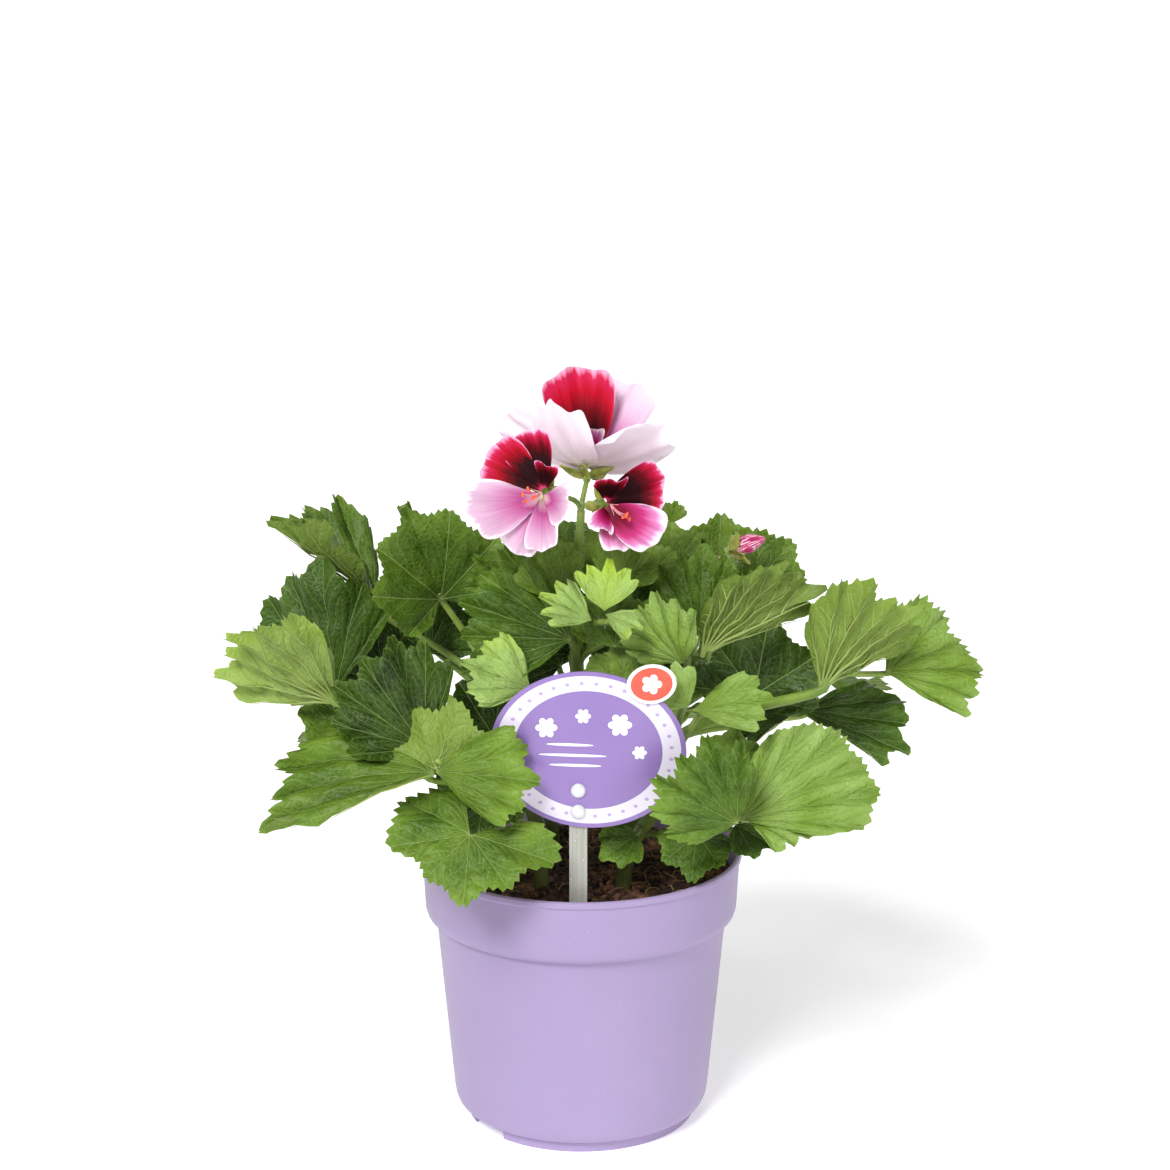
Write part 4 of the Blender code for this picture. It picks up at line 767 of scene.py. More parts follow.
blooms = {
    "bloomTop": dict(
        node="bloom_top", hub=(2.8, -15, 272), axis=(0.1, 0.35, 0.93), side=(0, 1, 0),
        sepal=11.0, lean=0.35, anthers=((-2, -1, 6), (-1, -1, 7), (-3, 0, 5)),
        upper=[
            petal((-6, 6, 39), (0.15, -0.95, 0.2), (30, 33), 0.3, sides=(30, 30), ruffle=0.07),
            petal((20, 15, 30), (-0.35, -0.9, 0.2), (26, 24), 0.0, sides=(20, -20)),
        ],
        lower=[
            petal((-34, 3, 13), (0.3, 0.8, 0.6), (30, 26), 0.0, droop=-20, ruffle=0.08, belly=0.8),
            petal((-20, -22, 15), (0.3, 0.6, 0.75), (32, 38), 0.0, droop=-60, sides=(20, 20), ruffle=0.05,
                belly=1.5),
            petal((31, -17, 9), (-0.2, 0.75, 0.6), (34, 34), 0.0, droop=-30, sides=(20, 20), ruffle=0.07,
                belly=1.5),
            petal((2, -1, 18), (0, -0.9, 0.3), (22, 22), 1.0, droop=-30, ruffle=0.1, belly=0),
        ],
    ),
    "bloomLeft": dict(
        node="bloom_left", hub=(-14, -44.7, 268.5), axis=(-0.25, -0.93, 0.2), side=(0, 0, 1),
        sepal=9.0, lean=0.1, anthers=((-7, -7, 1), (-5, -8, 3), (-6, -6, -2), (-3, -9, 0)),
        upper=[
            petal((-9, 6, 20), (-0.1, -0.9, 0.4), (36, 36), 0.92, sides=(20, 20), ruffle=0.09),
            petal((-21, 6, 12), (-0.2, -0.9, 0.4), (34, 34), 0.8, sides=(0, 0), ruffle=0.07, belly=0.2),
            petal((3, -2, 12), (-0.3, -0.9, 0.3), (32, 32), 0.9, droop=-40, ruffle=0.1),
        ],
        lower=[
            petal((-28, -10, -3), (0, -0.95, 0.3), (34, 32), 0.35, ruffle=0.07, sides=(10, 20), belly=0.1),
            petal((-11, -8, -19), (0, -0.95, 0.3), (28, 28), 0.6, ruffle=0.09, sides=(-30, -20)),
            petal((-1, -11, -18), (0.2, -0.9, 0.4), (24, 26), 0.6, ruffle=0.1, sides=(20, -30)),
            petal((10, -10, -2), (-0.7, -0.7, 0.2), (52, 50), 0.6, ruffle=0.1, sides=(20, 20), belly=0),
        ],
    ),
    "bloomRight": dict(
        node="bloom_right", hub=(9.5, -37, 262.5), axis=(0.74, -0.67, 0.05), side=(0, 0, 1),
        sepal=9.0, lean=0.3, anthers=((5, -8, -3), (7, -7, -4), (6, -9, -2)),
        upper=[
            petal((22, -1.5, 7.5), (-0.5, -0.8, -0.2), (34, 42), 1.0, sides=(30, 10), ruffle=0.08, belly=0.3),
            petal((3, -7, 11), (0.1, -0.9, -0.3), (46, 44), 1.0, droop=-15, ruffle=0.12, belly=0.1),
        ],
        lower=[
            petal((-1, -13, -4), (0.7, -0.2, 0.6), (34, 34), 1.0, droop=20, ruffle=0.12, belly=0.2),
            petal((6, -9, -14), (0.1, -0.7, 0.7), (32, 34), 0.86, sides=(20, 20), droop=10, ruffle=0.12,
                belly=0.3),
            petal((20, -11, -8), (-0.4, -0.8, 0.4), (32, 34), 0.92, sides=(25, 25), droop=10, ruffle=0.08,
                belly=0.6),
        ],
    ),
}
petalDraw = random.Random(12)
calyxes = []
for name, bloom in blooms.items():
    upperHub, lowerHub, root, cup = bloomSeats(bloom)
    calyxes.append((cup, bloom["axis"], bloom["sepal"], bloom["lean"]))
    for where, hub in (("upper", upperHub), ("lower", lowerHub)):
        bm = startMesh()
        for shape in bloom[where]:
            addPetal(bm, shape, hub, petalDraw)
        finishMesh(f"{name}{where.title()}Petals", bm, [petalMaterials[where]],
                   [f"{bloom['node']}_{where}_petals"])
    buildStamens(name + "Stamens", root, bloom["anthers"], bloom["node"] + "_stamens", petalDraw)
print("blooms:", len(blooms))


# the stalks of the flower heads, with their calyxes and buds
calyxShape = {
    "cupLength": 3.4, "cupStep": 0.68, "cup": lambda share: 1.1 + share, "sepals": 5, "sepalWidth": 2.7,
    "sepalHalfThick": 0.25, "hollow": 0.3, "sepalTint": 0.85,
}


def addSepal(bm, root, tip, draw):
    along = tip.normalized()
    up = along.orthogonal().normalized()
    across = up.cross(along)
    length = tip.length
    width = calyxShape["sepalWidth"]

    def place(out, side, lift):
        half = width * math.sin(math.pi * min(1.0, out**0.75 * 0.96 + 0.04)) * side
        rise = lift * calyxShape["sepalHalfThick"] + calyxShape["hollow"] * width * side * side
        return root + along * length * out + across * half + up * rise, side

    addSheet(bm, 10, 8, place, (calyxShape["sepalTint"], draw.random()), greens["sepal"])
    middle = [root, root + tip * 0.5, root + tip * 0.9]
    addHairs(bm, middle, lambda share: width * 0.5, "sepal", draw)


def addCalyx(bm, centre, axis, length, lean, draw):
    axis = Vector(axis).normalized()
    side = axis.orthogonal().normalized()
    centre = Vector(centre)
    cup = [centre - axis * (calyxShape["cupLength"] - calyxShape["cupStep"] * index) for index in range(6)]
    addHairyStalk(bm, cup, calyxShape["cup"], "calyx", draw)
    for index in range(calyxShape["sepals"]):
        out = Matrix.Rotation(math.tau * index / calyxShape["sepals"], 3, axis) @ side
        tip = (axis * lean + out).normalized() * length
        addSepal(bm, centre - axis * 1.6 + out * 0.6, tip, draw)


def buildTruss(name, truss, draw):
    bm = startMesh()
    low, high = (Vector(point) for point in truss["ends"])
    lean = Vector((0, 0, (high - low).length * 0.35))
    path = bezier((low, low + lean, high - lean * 0.6, high), 12)
    addHairyStalk(bm, path, lambda share: truss["width"] * (1 - 0.2 * share), "headStalk", draw)
    for centre, axis, length, lean in truss["calyxes"]:
        start, end = Vector(truss["umbel"]), Vector(centre) - Vector(axis).normalized() * 2.4
        rise = Vector((0, 0, 0.3 * (end - start).length))
        stalk = bezier((start, start + rise, end.lerp(start, 0.35), end), 8)
        addTube(bm, stalk, lambda share: 1.05 - 0.1 * share, 10, greens["stalk"])
        addHairs(bm, stalk, lambda share: 1.0, "flowerStalk", draw)
        addCalyx(bm, centre, axis, length, lean, draw)
    finishMesh(name, bm, [leafGreen, stalkGreen, plantHair, sepalGreen], [truss["node"]])


budLook = {"streaks": [(0.40, (0.86, 0.64, 0.72)), (0.48, (0.52, 0.03, 0.17)), (0.7, (0.24, 0.004, 0.04))],
           "twist": 2.2, "taper": 0.45, "rolls": 3, "rollDepth": 0.10}


def budMaterial():
    made, tree, shader = newMaterial(
        "budPink", (0.62, 0.05, 0.20), 0.5, Subsurface_Weight=0.1, Subsurface_Scale=0.002,
        Specular_IOR_Level=0.3)
    u, v = bladeInputs(tree)[:2]
    streaks = noiseOf(tree, 2.4, 3.0, pointOf(tree, maths(tree, "SINE", u * 3.0) * 1.3, v))
    feed(shader, "Base Color", rampOf(tree, streaks, budLook["streaks"]))
    return made


def buildBud(name, bud):
    # a pointed egg of rolled petals
    axis = Vector(bud["axis"]).normalized()
    side = axis.orthogonal().normalized()
    other = axis.cross(side)
    bm = startMesh()
    uvLayer = bm.loops.layers.uv["bladeUv"]
    spots = {}
    for vert in bmesh.ops.create_uvsphere(bm, u_segments=30, v_segments=18, radius=0.5)["verts"]:
        height = vert.co.z + 0.5
        turn = math.atan2(vert.co.y, vert.co.x) + height * budLook["twist"]
        taper = (1.0 - budLook["taper"] * max(0.0, vert.co.z * 2))
        taper *= 1 + budLook["rollDepth"] * math.sin(turn * budLook["rolls"])
        flat = math.hypot(vert.co.x, vert.co.y) * bud["width"] * taper
        spots[vert] = (turn, height)
        up = axis * (bloomSize["gap"] + height * bud["length"])
        vert.co = Vector(bud["base"]) + up + flat * (math.cos(turn) * side + math.sin(turn) * other)
    for face in bm.faces:
        for loop in face.loops:
            loop[uvLayer].uv = spots[loop.vert]
    finishMesh(name, bm, [budPink], [bud["node"]])


budPink = budMaterial()
buds = {
    "budOpen": dict(node="bud_open", base=(60, -4, 236.5), axis=(0.9, 0.0, 0.35), length=13.0, width=7.6,
                    sepal=9.0, lean=0.8),
    "budSmall": dict(node="bud_small", base=(55.5, -7.5, 226.5), axis=(-0.15, -0.3, 1.0), length=9.0,
                     width=4.6, sepal=7.0, lean=1.3),
}
budCalyxes = [(bud["base"], bud["axis"], bud["sepal"], bud["lean"]) for bud in buds.values()]
trusses = {
    "flowerStalks": dict(node="flower_truss", ends=((-2, -16, 218.6), (0, -20, 256)), umbel=(0, -20, 255),
                         width=1.9, calyxes=calyxes),
    "budStalks": dict(node="bud_truss", ends=((44, -16, 196.6), (60.5, -3, 227)), umbel=(60.5, -3, 226),
                      width=1.4, calyxes=budCalyxes),
}
stalkDraw = random.Random(5)
for name, truss in trusses.items():
    buildTruss(name, truss, stalkDraw)
for name, bud in buds.items():
    buildBud(name, bud)
print("stalks and buds done")


# the pot, spun from its profile
potShape = {
    "height": 112.0, "rim": 65.0, "lip": 1.9, "collarBottom": 85.0, "collarFoot": 63.2, "bodyTop": 58.8,
    "bodyFoot": 52.0, "shoulder": 11.0, "foot": 46.4, "footHeight": 4.5, "wall": 1.3, "floor": 1.8,
    "pad": 9.0, "sides": 144, "sharpAngle": 35.0, "notchAngle": -54.5, "notchHeight": 3.4,
    "notchWidth": 20.0, "drainHoles": 8, "drainRadius": 3.6, "drainCircle": 33.0,
    "cloud": ((0.313, 0.247, 0.420), (0.336, 0.268, 0.444)), "speck": (0.66, 0.58, 0.78),
}


def lilacMaterial():
    made, tree, shader = newMaterial(
        "lilacPlastic", (0.50, 0.40, 0.66), 0.42, Subsurface_Weight=0.08, Subsurface_Scale=0.003,
        Specular_IOR_Level=0.3)
    clouds = patchesOf(tree, *potShape["cloud"], 14.0, 3.0)
    specks = band(noiseOf(tree, 260.0, 2.0), 0.72, 0.80)
    grain = noiseOf(tree, 1600.0, 2.0)
    feed(shader, "Base Color", blendColour(tree, specks * 0.15, clouds, potShape["speck"]))
    feed(shader, "Roughness", grain * 0.14 + 0.36)
    bumpInto(shader, grain, 0.12, 0.0002)
    return made


def potProfile():
    # up the outside from the middle of the floor, over the lip and down the inside
    rim, top, lip, wall = (potShape[key] for key in ("rim", "height", "lip", "wall"))
    collar, step, neck = (potShape[key] for key in ("collarFoot", "collarBottom", "bodyTop"))
    body, shoulder = potShape["bodyFoot"], potShape["shoulder"]
    foot, base, pad = (potShape[key] for key in ("foot", "footHeight", "pad"))
    floorTop = base + potShape["floor"]

    def side(height):
        return body + (height - shoulder) / (step - shoulder) * (neck - body), height

    outside = [
        (0.0, 0.0), (pad, 0.0), (pad + 0.8, base - 0.5), (foot - 1.6, base - 0.5), (foot - 1.4, 0.15),
        (foot - 1.2, 0.0), (foot - 0.2, 0.0), (foot, 0.2), (foot + 0.6, base), (foot + 1.2, base + 0.5),
        (body - 2.2, base + 1.0), (body - 1.2, base + 2.2), (body - 0.4, base + 4.2), (body, shoulder),
        side(35.0), side(60.0), side(84.2), (neck + 0.15, step - 0.25), (neck + 0.6, step),
        (collar - 2.0, step + 0.7), (collar - 0.8, step + 2.0), (collar - 0.15, step + 4.0),
        (collar, step + 6.0), (rim - 0.9, top - 3.4), (rim - 0.5, top - 2.9), (rim - 0.05, top - 2.4),
        (rim, top - 1.4), (rim - 0.2, top - 0.5), (rim - 0.8, top),
    ]
    inside = [
        (rim - lip + 0.3, top - 0.05), (rim - lip, top - 0.5), (rim - lip - 0.5, top - 1.6),
        (collar - wall, step + 6.0), (neck - wall, step + 0.5), (body - wall, shoulder + 1.5),
        (body - wall - 3.0, floorTop), (0.0, floorTop),
    ]
    return outside + inside


def spinProfile(bm, profile, sides):
    ring = [bm.verts.new((radius, 0.0, height)) for radius, height in profile]
    edges = [bm.edges.new(pair) for pair in zip(ring, ring[1:])]
    bmesh.ops.spin(
        bm, geom=ring + edges, axis=(0, 0, 1), cent=(0, 0, 0), steps=sides, angle=math.tau, use_merge=True)
    bmesh.ops.remove_doubles(bm, verts=bm.verts, dist=0.001)


def notchCutter(turn):
    height = potShape["notchHeight"]
    bm = bmesh.new()
    bmesh.ops.create_cube(bm, size=1.0)
    bmesh.ops.scale(bm, vec=(potShape["notchWidth"], 7.0, height + 1.0), verts=bm.verts)
    bmesh.ops.translate(bm, vec=(0, 0.5 - potShape["foot"], (height - 1.0) / 2), verts=bm.verts)
    turned = Matrix.Rotation(math.radians(turn), 3, "Z")
    bmesh.ops.rotate(bm, cent=(0, 0, 0), matrix=turned, verts=bm.verts)
    return objectFrom("cutter", bm)


def holeCutter(angle):
    circle, radius = potShape["drainCircle"], potShape["drainRadius"]
    bm = bmesh.new()
    bmesh.ops.create_cone(bm, cap_ends=True, segments=24, radius1=radius, radius2=radius, depth=12.0)
    place = (circle * math.cos(angle), circle * math.sin(angle), 6.5)
    bmesh.ops.translate(bm, vec=place, verts=bm.verts)
    return objectFrom("cutter", bm)


def cutWith(piece, cutters):
    for cutter in cutters:
        cut = piece.modifiers.new("cut", "BOOLEAN")
        cut.operation = "DIFFERENCE"
        cut.object = cutter
        cut.solver = "EXACT"
    graph = bpy.context.evaluated_depsgraph_get()
    mesh = bpy.data.meshes.new_from_object(piece.evaluated_get(graph))
    piece.modifiers.clear()
    piece.data = mesh
    for cutter in cutters:
        bpy.data.objects.remove(cutter)


def buildPot():
    bm = startMesh()
    spinProfile(bm, potProfile(), potShape["sides"])
    pot = finishMesh("growersPot", bm, [lilacMaterial()], ["pot"], potShape["sharpAngle"])
    notch, holes = potShape["notchAngle"], potShape["drainHoles"]
    cutters = [notchCutter(turn) for turn in (notch, notch + 180.0)]
    cutters += [holeCutter(math.tau * (index + 0.5) / holes) for index in range(holes)]
    cutWith(pot, cutters)
    pot.data.set_sharp_from_angle(angle=math.radians(potShape["sharpAngle"]))


buildPot()


# peat: a lumpy top with crumbs and fibres
soilShape = {
    "level": 102.6, "highest": 105.5, "radius": 61.2, "grid": 96, "edgeDrop": 1.2,
    "lumps": ((13.0, 2.4), (4.0, 1.3), (1.7, 0.7)),  # how wide and how high
    "skirt": ((61.0, 98.0), (61.0, 92.0), (56.9, 86.5), (50.1, 13.0), (47.2, 6.8)),
    "crumbs": 1000, "crumbSize": 2.3, "crumbReach": 0.95,
    "fibres": 110, "fibreLength": (4, 11), "fibreReach": 0.93,
    "browns": [(0.30, (0.006, 0.003, 0.002)), (0.46, (0.034, 0.015, 0.008)), (0.57, (0.115, 0.050, 0.024)),
               (0.70, (0.27, 0.13, 0.065))],
}


def soilMaterial():
    made, tree, shader = newMaterial("peat", (0.04, 0.02, 0.012), 0.9)
    feed(shader, "Base Color", rampOf(tree, noiseOf(tree, 160.0, 5.0), soilShape["browns"]))
    bumpInto(shader, noiseOf(tree, 700.0, 4.0), 0.8, 0.0012)
    return made


def soilHeight(x, y):
    here = Vector((x, y, 0.0))
    height = soilShape["level"] + sum(high * noise.noise(here / wide) for wide, high in soilShape["lumps"])
    out = math.hypot(x, y) / soilShape["radius"]
    return min(height, soilShape["highest"]) - soilShape["edgeDrop"] * out**8


def anySpot(draw, share):
    # somewhere on the peat, within this share of its radius
    reach = soilShape["radius"] * share * math.sqrt(draw.random())
    turn = draw.random() * math.tau
    return reach * math.cos(turn), reach * math.sin(turn)


def addCrumb(bm, draw):
    x, y = anySpot(draw, soilShape["crumbReach"])
    size = draw.uniform(0.5, 1.0) ** 2 * soilShape["crumbSize"]
    turn, way = draw.random() * math.tau, Vector((draw.random(), draw.random(), 0.2))
    sizes = (size, size * draw.uniform(0.5, 0.9), size * draw.uniform(0.35, 0.8), 1.0)
    place = Matrix.Translation((x, y, soilHeight(x, y) + size * 0.2))
    matrix = place @ Matrix.Rotation(turn, 4, way) @ Matrix.Diagonal(sizes)
    for vert in bmesh.ops.create_icosphere(bm, subdivisions=1, radius=1.0, matrix=matrix)["verts"]:
        vert.co += anyWay(draw) * size * 0.22


def addFibre(bm, draw):
    start = Vector((*anySpot(draw, soilShape["fibreReach"]), 0))
    way = Vector((draw.uniform(-1, 1), draw.uniform(-1, 1), 0)).normalized()
    way *= draw.uniform(*soilShape["fibreLength"])
    bend = way.cross(Vector((0, 0, 1))) * draw.uniform(-0.4, 0.4)
    path = bezier((start, start + way * 0.3 + bend, start + way * 0.7 + bend, start + way), 5)
    path = [point for point in path if point.xy.length < soilShape["radius"] * 0.97]
    if len(path) < 3:
        return
    for index, point in enumerate(path):
        point.z = soilHeight(point.x, point.y) + 0.9 + 0.8 * math.sin(math.pi * index / (len(path) - 1))
    addTube(bm, path, lambda share: 0.28 - 0.12 * share, 4, 1)


def buildSoil(draw):
    s = soilShape
    bm = startMesh()
    for vert in bmesh.ops.create_grid(bm, x_segments=s["grid"], y_segments=s["grid"], size=1.0)["verts"]:
        x, y = vert.co.x, vert.co.y
        vert.co.x = s["radius"] * x * math.sqrt(1 - y * y / 2)
        vert.co.y = s["radius"] * y * math.sqrt(1 - x * x / 2)
        vert.co.z = soilHeight(vert.co.x, vert.co.y)
    rim = [edge for edge in bm.edges if edge.is_boundary]
    for radius, height in s["skirt"]:
        below = bmesh.ops.extrude_edge_only(bm, edges=rim)["geom"]
        rim = [item for item in below if isinstance(item, bmesh.types.BMEdge)]
        for vert in [item for item in below if isinstance(item, bmesh.types.BMVert)]:
            vert.co.xy = vert.co.xy.normalized() * radius
            vert.co.z = height
    bmesh.ops.contextual_create(bm, geom=rim)
    for _ in range(s["crumbs"]):
        addCrumb(bm, draw)
    for _ in range(s["fibres"]):
        addFibre(bm, draw)
    fibre = mottled("peatFibre", (0.10, 0.045, 0.02), (0.42, 0.24, 0.12), 120.0, 0.8, 2.0, 0.2)
    finishMesh("peatSoil", bm, [soilMaterial(), fibre], ["soil"], 30.0)


buildSoil(random.Random(8))
print("pot and soil done")


# care card, with a plain generic print, its stake and its label
cardShape = {
    "centre": (2.9, -55.6, 170.6), "size": (75.0, 62.0), "thick": 0.8, "turn": 6.5, "bevel": 0.15,
    "border": 0.945, "ring": 0.755, "beads": 36, "beadRadius": 0.022, "film": 0.05,
    "flowers": ((-16.0, 9.0, 4.2), (-2.0, 13.5, 3.0), (12.0, 10.0, 4.6), (19.5, -1.0, 2.8)),  # x, z, radius
    "lines": ((-6.0, -2.0, 26.0), (-5.0, -6.0, 20.0), (-7.0, 2.2, 18.0)),  # x, z and length
    "lineWidth": 1.1, "lineTurn": 2.0,
    "labelCentre": (26.8, 197.0), "labelSize": (19.0, 15.5), "labelTurn": -8.0, "labelThick": 0.7,
    "stakeX": -1.0, "stakeWidth": 7.0, "stakeFoot": 66.0, "stakeTop": 160.0, "rivets": (146.0, 154.5),
    "rivetRadius": 2.9, "ribs": ((-2.8, 0.7), (2.8, 0.7), (0.3, 0.9)),  # from the middle, half as wide
}


def roundEdges(bm, edges, size):
    return bmesh.ops.bevel(
        bm, geom=edges, offset=size, affect="EDGES", segments=2, profile=0.5, material=-1)["verts"]


def uprightPlate(bm, outline, thick, centre, turn, bevel):
    # outline in XY, stood up facing the viewer
    verts = [bm.verts.new((x, y, 0.0)) for x, y in outline]
    face = bm.faces.new(verts)
    rest = bmesh.ops.extrude_face_region(bm, geom=[face])["geom"]
    top = [item for item in rest if isinstance(item, bmesh.types.BMVert)]
    bmesh.ops.translate(bm, vec=(0, 0, thick), verts=top)
    every = verts + top
    if bevel:
        caps = {item for item in bm.faces if len(item.verts) > 4 and set(item.verts) <= set(every)}
        edges = list({edge for item in caps for edge in item.edges})
        rounded = roundEdges(bm, edges, bevel)
        every = list({vert for vert in every if vert.is_valid} | set(rounded))
    bmesh.ops.translate(bm, vec=(0, 0, -thick / 2), verts=every)
    for angle, axis in ((-turn, "Z"), (90, "X")):
        turned = Matrix.Rotation(math.radians(angle), 3, axis)
        bmesh.ops.rotate(bm, cent=(0, 0, 0), matrix=turned, verts=every)
    bmesh.ops.translate(bm, vec=centre, verts=every)


def buildPlates(name, plates, material, nodes, angle=60.0):
    bm = startMesh()
    for plate in plates:
        uprightPlate(bm, *plate)
    finishMesh(name, bm, [material], nodes, angle)


def oval(size, count):
    turns = [math.tau * index / count for index in range(count)]
    return [(size[0] / 2 * math.cos(turn), size[1] / 2 * math.sin(turn)) for turn in turns]


def flowerOutline(radius, petals):
    made = []
    for index in range(60):
        angle = math.tau * index / 60
        reach = radius * (0.62 + 0.38 * abs(math.cos(petals * angle / 2)) ** 0.8)
        made.append((reach * math.cos(angle), reach * math.sin(angle)))
    return made


def ovalShare(tree, centre, size, turn):
    # 0 at the middle of an oval on the card's face, 1 on its outline
    moved = signalOf(tree, "ShaderNodeMapping", {
        0: objectPlace(tree), "Location": [value * mm for value in centre],
        "Rotation": (0, math.radians(turn), 0), "Scale": (size[0] / 2 * mm, 1.0, size[1] / 2 * mm),
    }, vector_type="TEXTURE")
    flat = signalOf(tree, "ShaderNodeVectorMath", {0: moved, 1: (1, 0, 1)}, operation="MULTIPLY")
    return signalOf(tree, "ShaderNodeVectorMath", {0: flat}, "Value", operation="LENGTH"), flat


def cardMaterial():
    made, tree, shader = newMaterial(
        "cardPrint", (0.42, 0.30, 0.60), 0.3, Coat_Weight=0.3, Coat_Roughness=0.2)
    c = cardShape
    share, flat = ovalShare(tree, c["centre"], c["size"], c["turn"])
    purple = patchesOf(tree, (0.225, 0.145, 0.390), (0.255, 0.165, 0.420), 30.0)
    colour = blendColour(tree, (share > c["ring"]) * (share < c["border"]), purple, (0.70, 0.65, 0.76))
    x, _, z = partsOf(tree, flat)
    turns = maths(tree, "ARCTAN2", z, x) * (c["beads"] / math.tau)
    along = abs(turns - round(turns)) * 0.16
    across = share - (c["ring"] + c["border"]) / 2
    reach = maths(tree, "SQRT", along**2.0 + across**2.0)
    feed(shader, "Base Color", blendColour(tree, reach < c["beadRadius"], colour, (0.42, 0.33, 0.60)))
    return made


def labelMaterial():
    made, tree, shader = newMaterial("labelRed", (0.80, 0.14, 0.08), 0.3, Coat_Weight=0.4)
    x, z = cardShape["labelCentre"]
    centre = (x, cardShape["centre"][1], z)
    share = ovalShare(tree, centre, cardShape["labelSize"], cardShape["labelTurn"])[0]
    red = patchesOf(tree, (0.66, 0.070, 0.035), (0.74, 0.095, 0.050), 90.0)
    feed(shader, "Base Color", blendColour(tree, share > 0.84, red, (0.88, 0.86, 0.86)))
    return made


def clearMaterial():
    made, tree, shader = newMaterial(
        "clearPlastic", (0.60, 0.60, 0.54), 0.22, Transmission_Weight=0.45, IOR=1.46)
    feed(shader, "Roughness", noiseOf(tree, 300.0, 2.0) * 0.2 + 0.14)
    return made


def buildCard():
    c = cardShape
    x, y, z = c["centre"]
    front = y - c["thick"] / 2
    printWhite = mottled("printWhite", (0.82, 0.78, 0.87), (0.88, 0.85, 0.92), 120.0, 0.35)
    card = (oval(c["size"], 120), c["thick"], c["centre"], c["turn"], c["bevel"])
    buildPlates("careCard", [card], cardMaterial(), ["tag_card"], 40.0)
    motifs = []  # small plain flowers and lines
    for across, up, radius in c["flowers"]:
        motifs.append((flowerOutline(radius, 6), c["film"], (x + across, front - 0.03, z + up), 0.0, 0.0))
    for across, up, long in c["lines"]:
        line = oval((long, c["lineWidth"]), 24)
        motifs.append((line, c["film"], (x + across, front - 0.03, z + up), c["lineTurn"], 0.0))
    buildPlates("cardMotifs", motifs, printWhite, [])
    x, z = c["labelCentre"]
    front -= c["labelThick"]
    label = (oval(c["labelSize"], 64), c["labelThick"], (x, front, z), c["labelTurn"], c["bevel"])
    buildPlates("cardLabel", [label], labelMaterial(), ["tag_sticker"], 40.0)
    motif = (flowerOutline(4.0, 5), c["film"], (x, front - 0.38, z), 0.0, 0.0)
    buildPlates("labelMotif", [motif], printWhite, [])


def addBlock(bm, low, high, bevel):
    made = bmesh.ops.create_cube(bm, size=1.0)["verts"]
    bmesh.ops.scale(bm, vec=[b - a for a, b in zip(low, high)], verts=made)
    bmesh.ops.translate(bm, vec=[(a + b) / 2 for a, b in zip(low, high)], verts=made)
    roundEdges(bm, list({edge for vert in made for edge in vert.link_edges}), bevel)


def buildStake():
    c = cardShape
    x, foot, top = c["stakeX"], c["stakeFoot"], c["stakeTop"]
    back = c["centre"][1] + c["thick"] / 2 + 0.35
    front = c["centre"][1] - c["thick"] / 2
    half = c["stakeWidth"] / 2
    bm = startMesh()
    addBlock(bm, (x - half, back + 0.3, foot), (x + half, back + 1.1, top), 0.2)
    for offset, wide in c["ribs"]:
        rib = x + offset
        addBlock(bm, (rib - wide, back, foot + 1), (rib + wide, back + 1.6, top - 1), 0.3)
    for height in c["rivets"]:
        matrix = Matrix.Translation((x, front - 0.2, height)) @ Matrix.Diagonal((1.0, 0.6, 1.0, 1.0))
        head = bmesh.ops.create_uvsphere(
            bm, u_segments=24, v_segments=16, radius=c["rivetRadius"], matrix=matrix)["verts"]
        for face in {face for vert in head for face in vert.link_faces}:
            face.material_index = 1
    milky = mottled("milkyPlastic", (0.56, 0.56, 0.58), (0.66, 0.66, 0.68), 300.0, 0.25, Coat_Weight=0.3)
    finishMesh("cardStake", bm, [clearMaterial(), milky], ["tag_stake"], 40.0)


buildCard()
buildStake()
print("card and stake done")


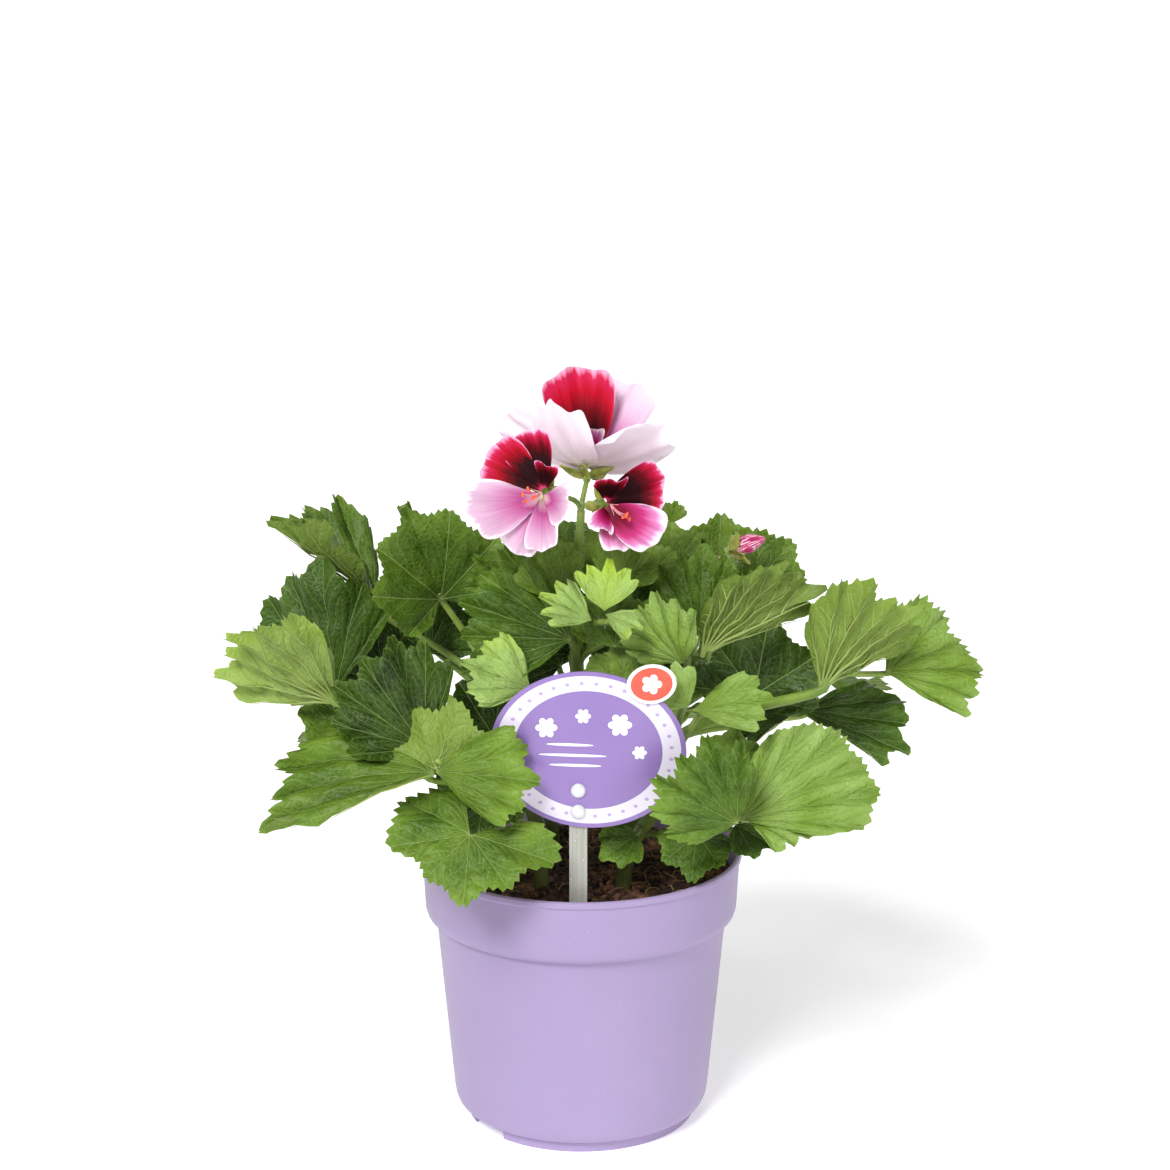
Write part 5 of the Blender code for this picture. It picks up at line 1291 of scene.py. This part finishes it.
# floor, light and camera
stageLook = {
    "floorReach": 60000.0, "floor": (0.93, 0.93, 0.93), "floorGlow": 0.36, "air": 0.225, "aim": (0, 0, 150),
    "sunFrom": (-0.45, -1.0, 1.0), "sunStrength": 3.1, "sunSoftness": 22.0,
    "lights": (  # place, size and power
        ("fillLight", (1000.0, -1300.0, 600.0), 900.0, 7.0),
        ("backLight", (300.0, 1100.0, 1100.0), 900.0, 4.0),
    ),
    "lens": 88.3, "sensor": 36.0, "cameraPlace": (1.6, -1101.0, 498.0), "pitch": 14.1,
}


def addLight(name, kind, place, way, **settings):
    light = bpy.data.lights.new(name, kind)
    for key, value in settings.items():
        setattr(light, key, value)
    holder = addToScene(name, light)
    holder.location = place
    holder.rotation_euler = way.to_track_quat("Z", "Y").to_euler()


def buildWorld():
    world = bpy.data.worlds.new("studioAir")
    world.use_nodes = True
    tree = world.node_tree  # white where the floor ends, softer overhead
    heading = signalOf(tree, "ShaderNodeTexCoord", output="Generated")
    glow = rampOf(tree, partsOf(tree, heading)[2], [(0.07, (1.0, 1.0, 1.0)), (0.16, (stageLook["air"],) * 3)])
    tree.links.new(glow.socket, tree.nodes["Background"].inputs[0])
    bpy.context.scene.world = world


def buildStage():
    bm = bmesh.new()
    bmesh.ops.create_grid(bm, x_segments=1, y_segments=1, size=stageLook["floorReach"])
    floor = objectFrom("studioFloor", bm)
    glow = {"Emission_Color": (1, 1, 1, 1), "Emission_Strength": stageLook["floorGlow"]}
    floor.data.materials.append(newMaterial("paleFloor", stageLook["floor"], 0.8, **glow)[0])
    sun = {"energy": stageLook["sunStrength"], "angle": math.radians(stageLook["sunSoftness"])}
    addLight("keyLight", "SUN", (0, 0, 0), Vector(stageLook["sunFrom"]), **sun)
    for name, spot, size, power in stageLook["lights"]:
        place = Vector(spot) * mm
        way = place - Vector(stageLook["aim"]) * mm
        addLight(name, "AREA", place, way, shape="DISK", size=size * mm, energy=power)
    buildWorld()
    camera = bpy.data.cameras.new("photoCamera")
    camera.lens = stageLook["lens"]
    camera.sensor_width = stageLook["sensor"]
    camera.clip_end = 80.0
    holder = addToScene("photoCamera", camera)
    holder.location = Vector(stageLook["cameraPlace"]) * mm
    holder.rotation_euler = (math.radians(90 - stageLook["pitch"]), 0, 0)
    bpy.context.scene.camera = holder
    bpy.context.scene.view_settings.view_transform = "Standard"


buildStage()
print("scene done")
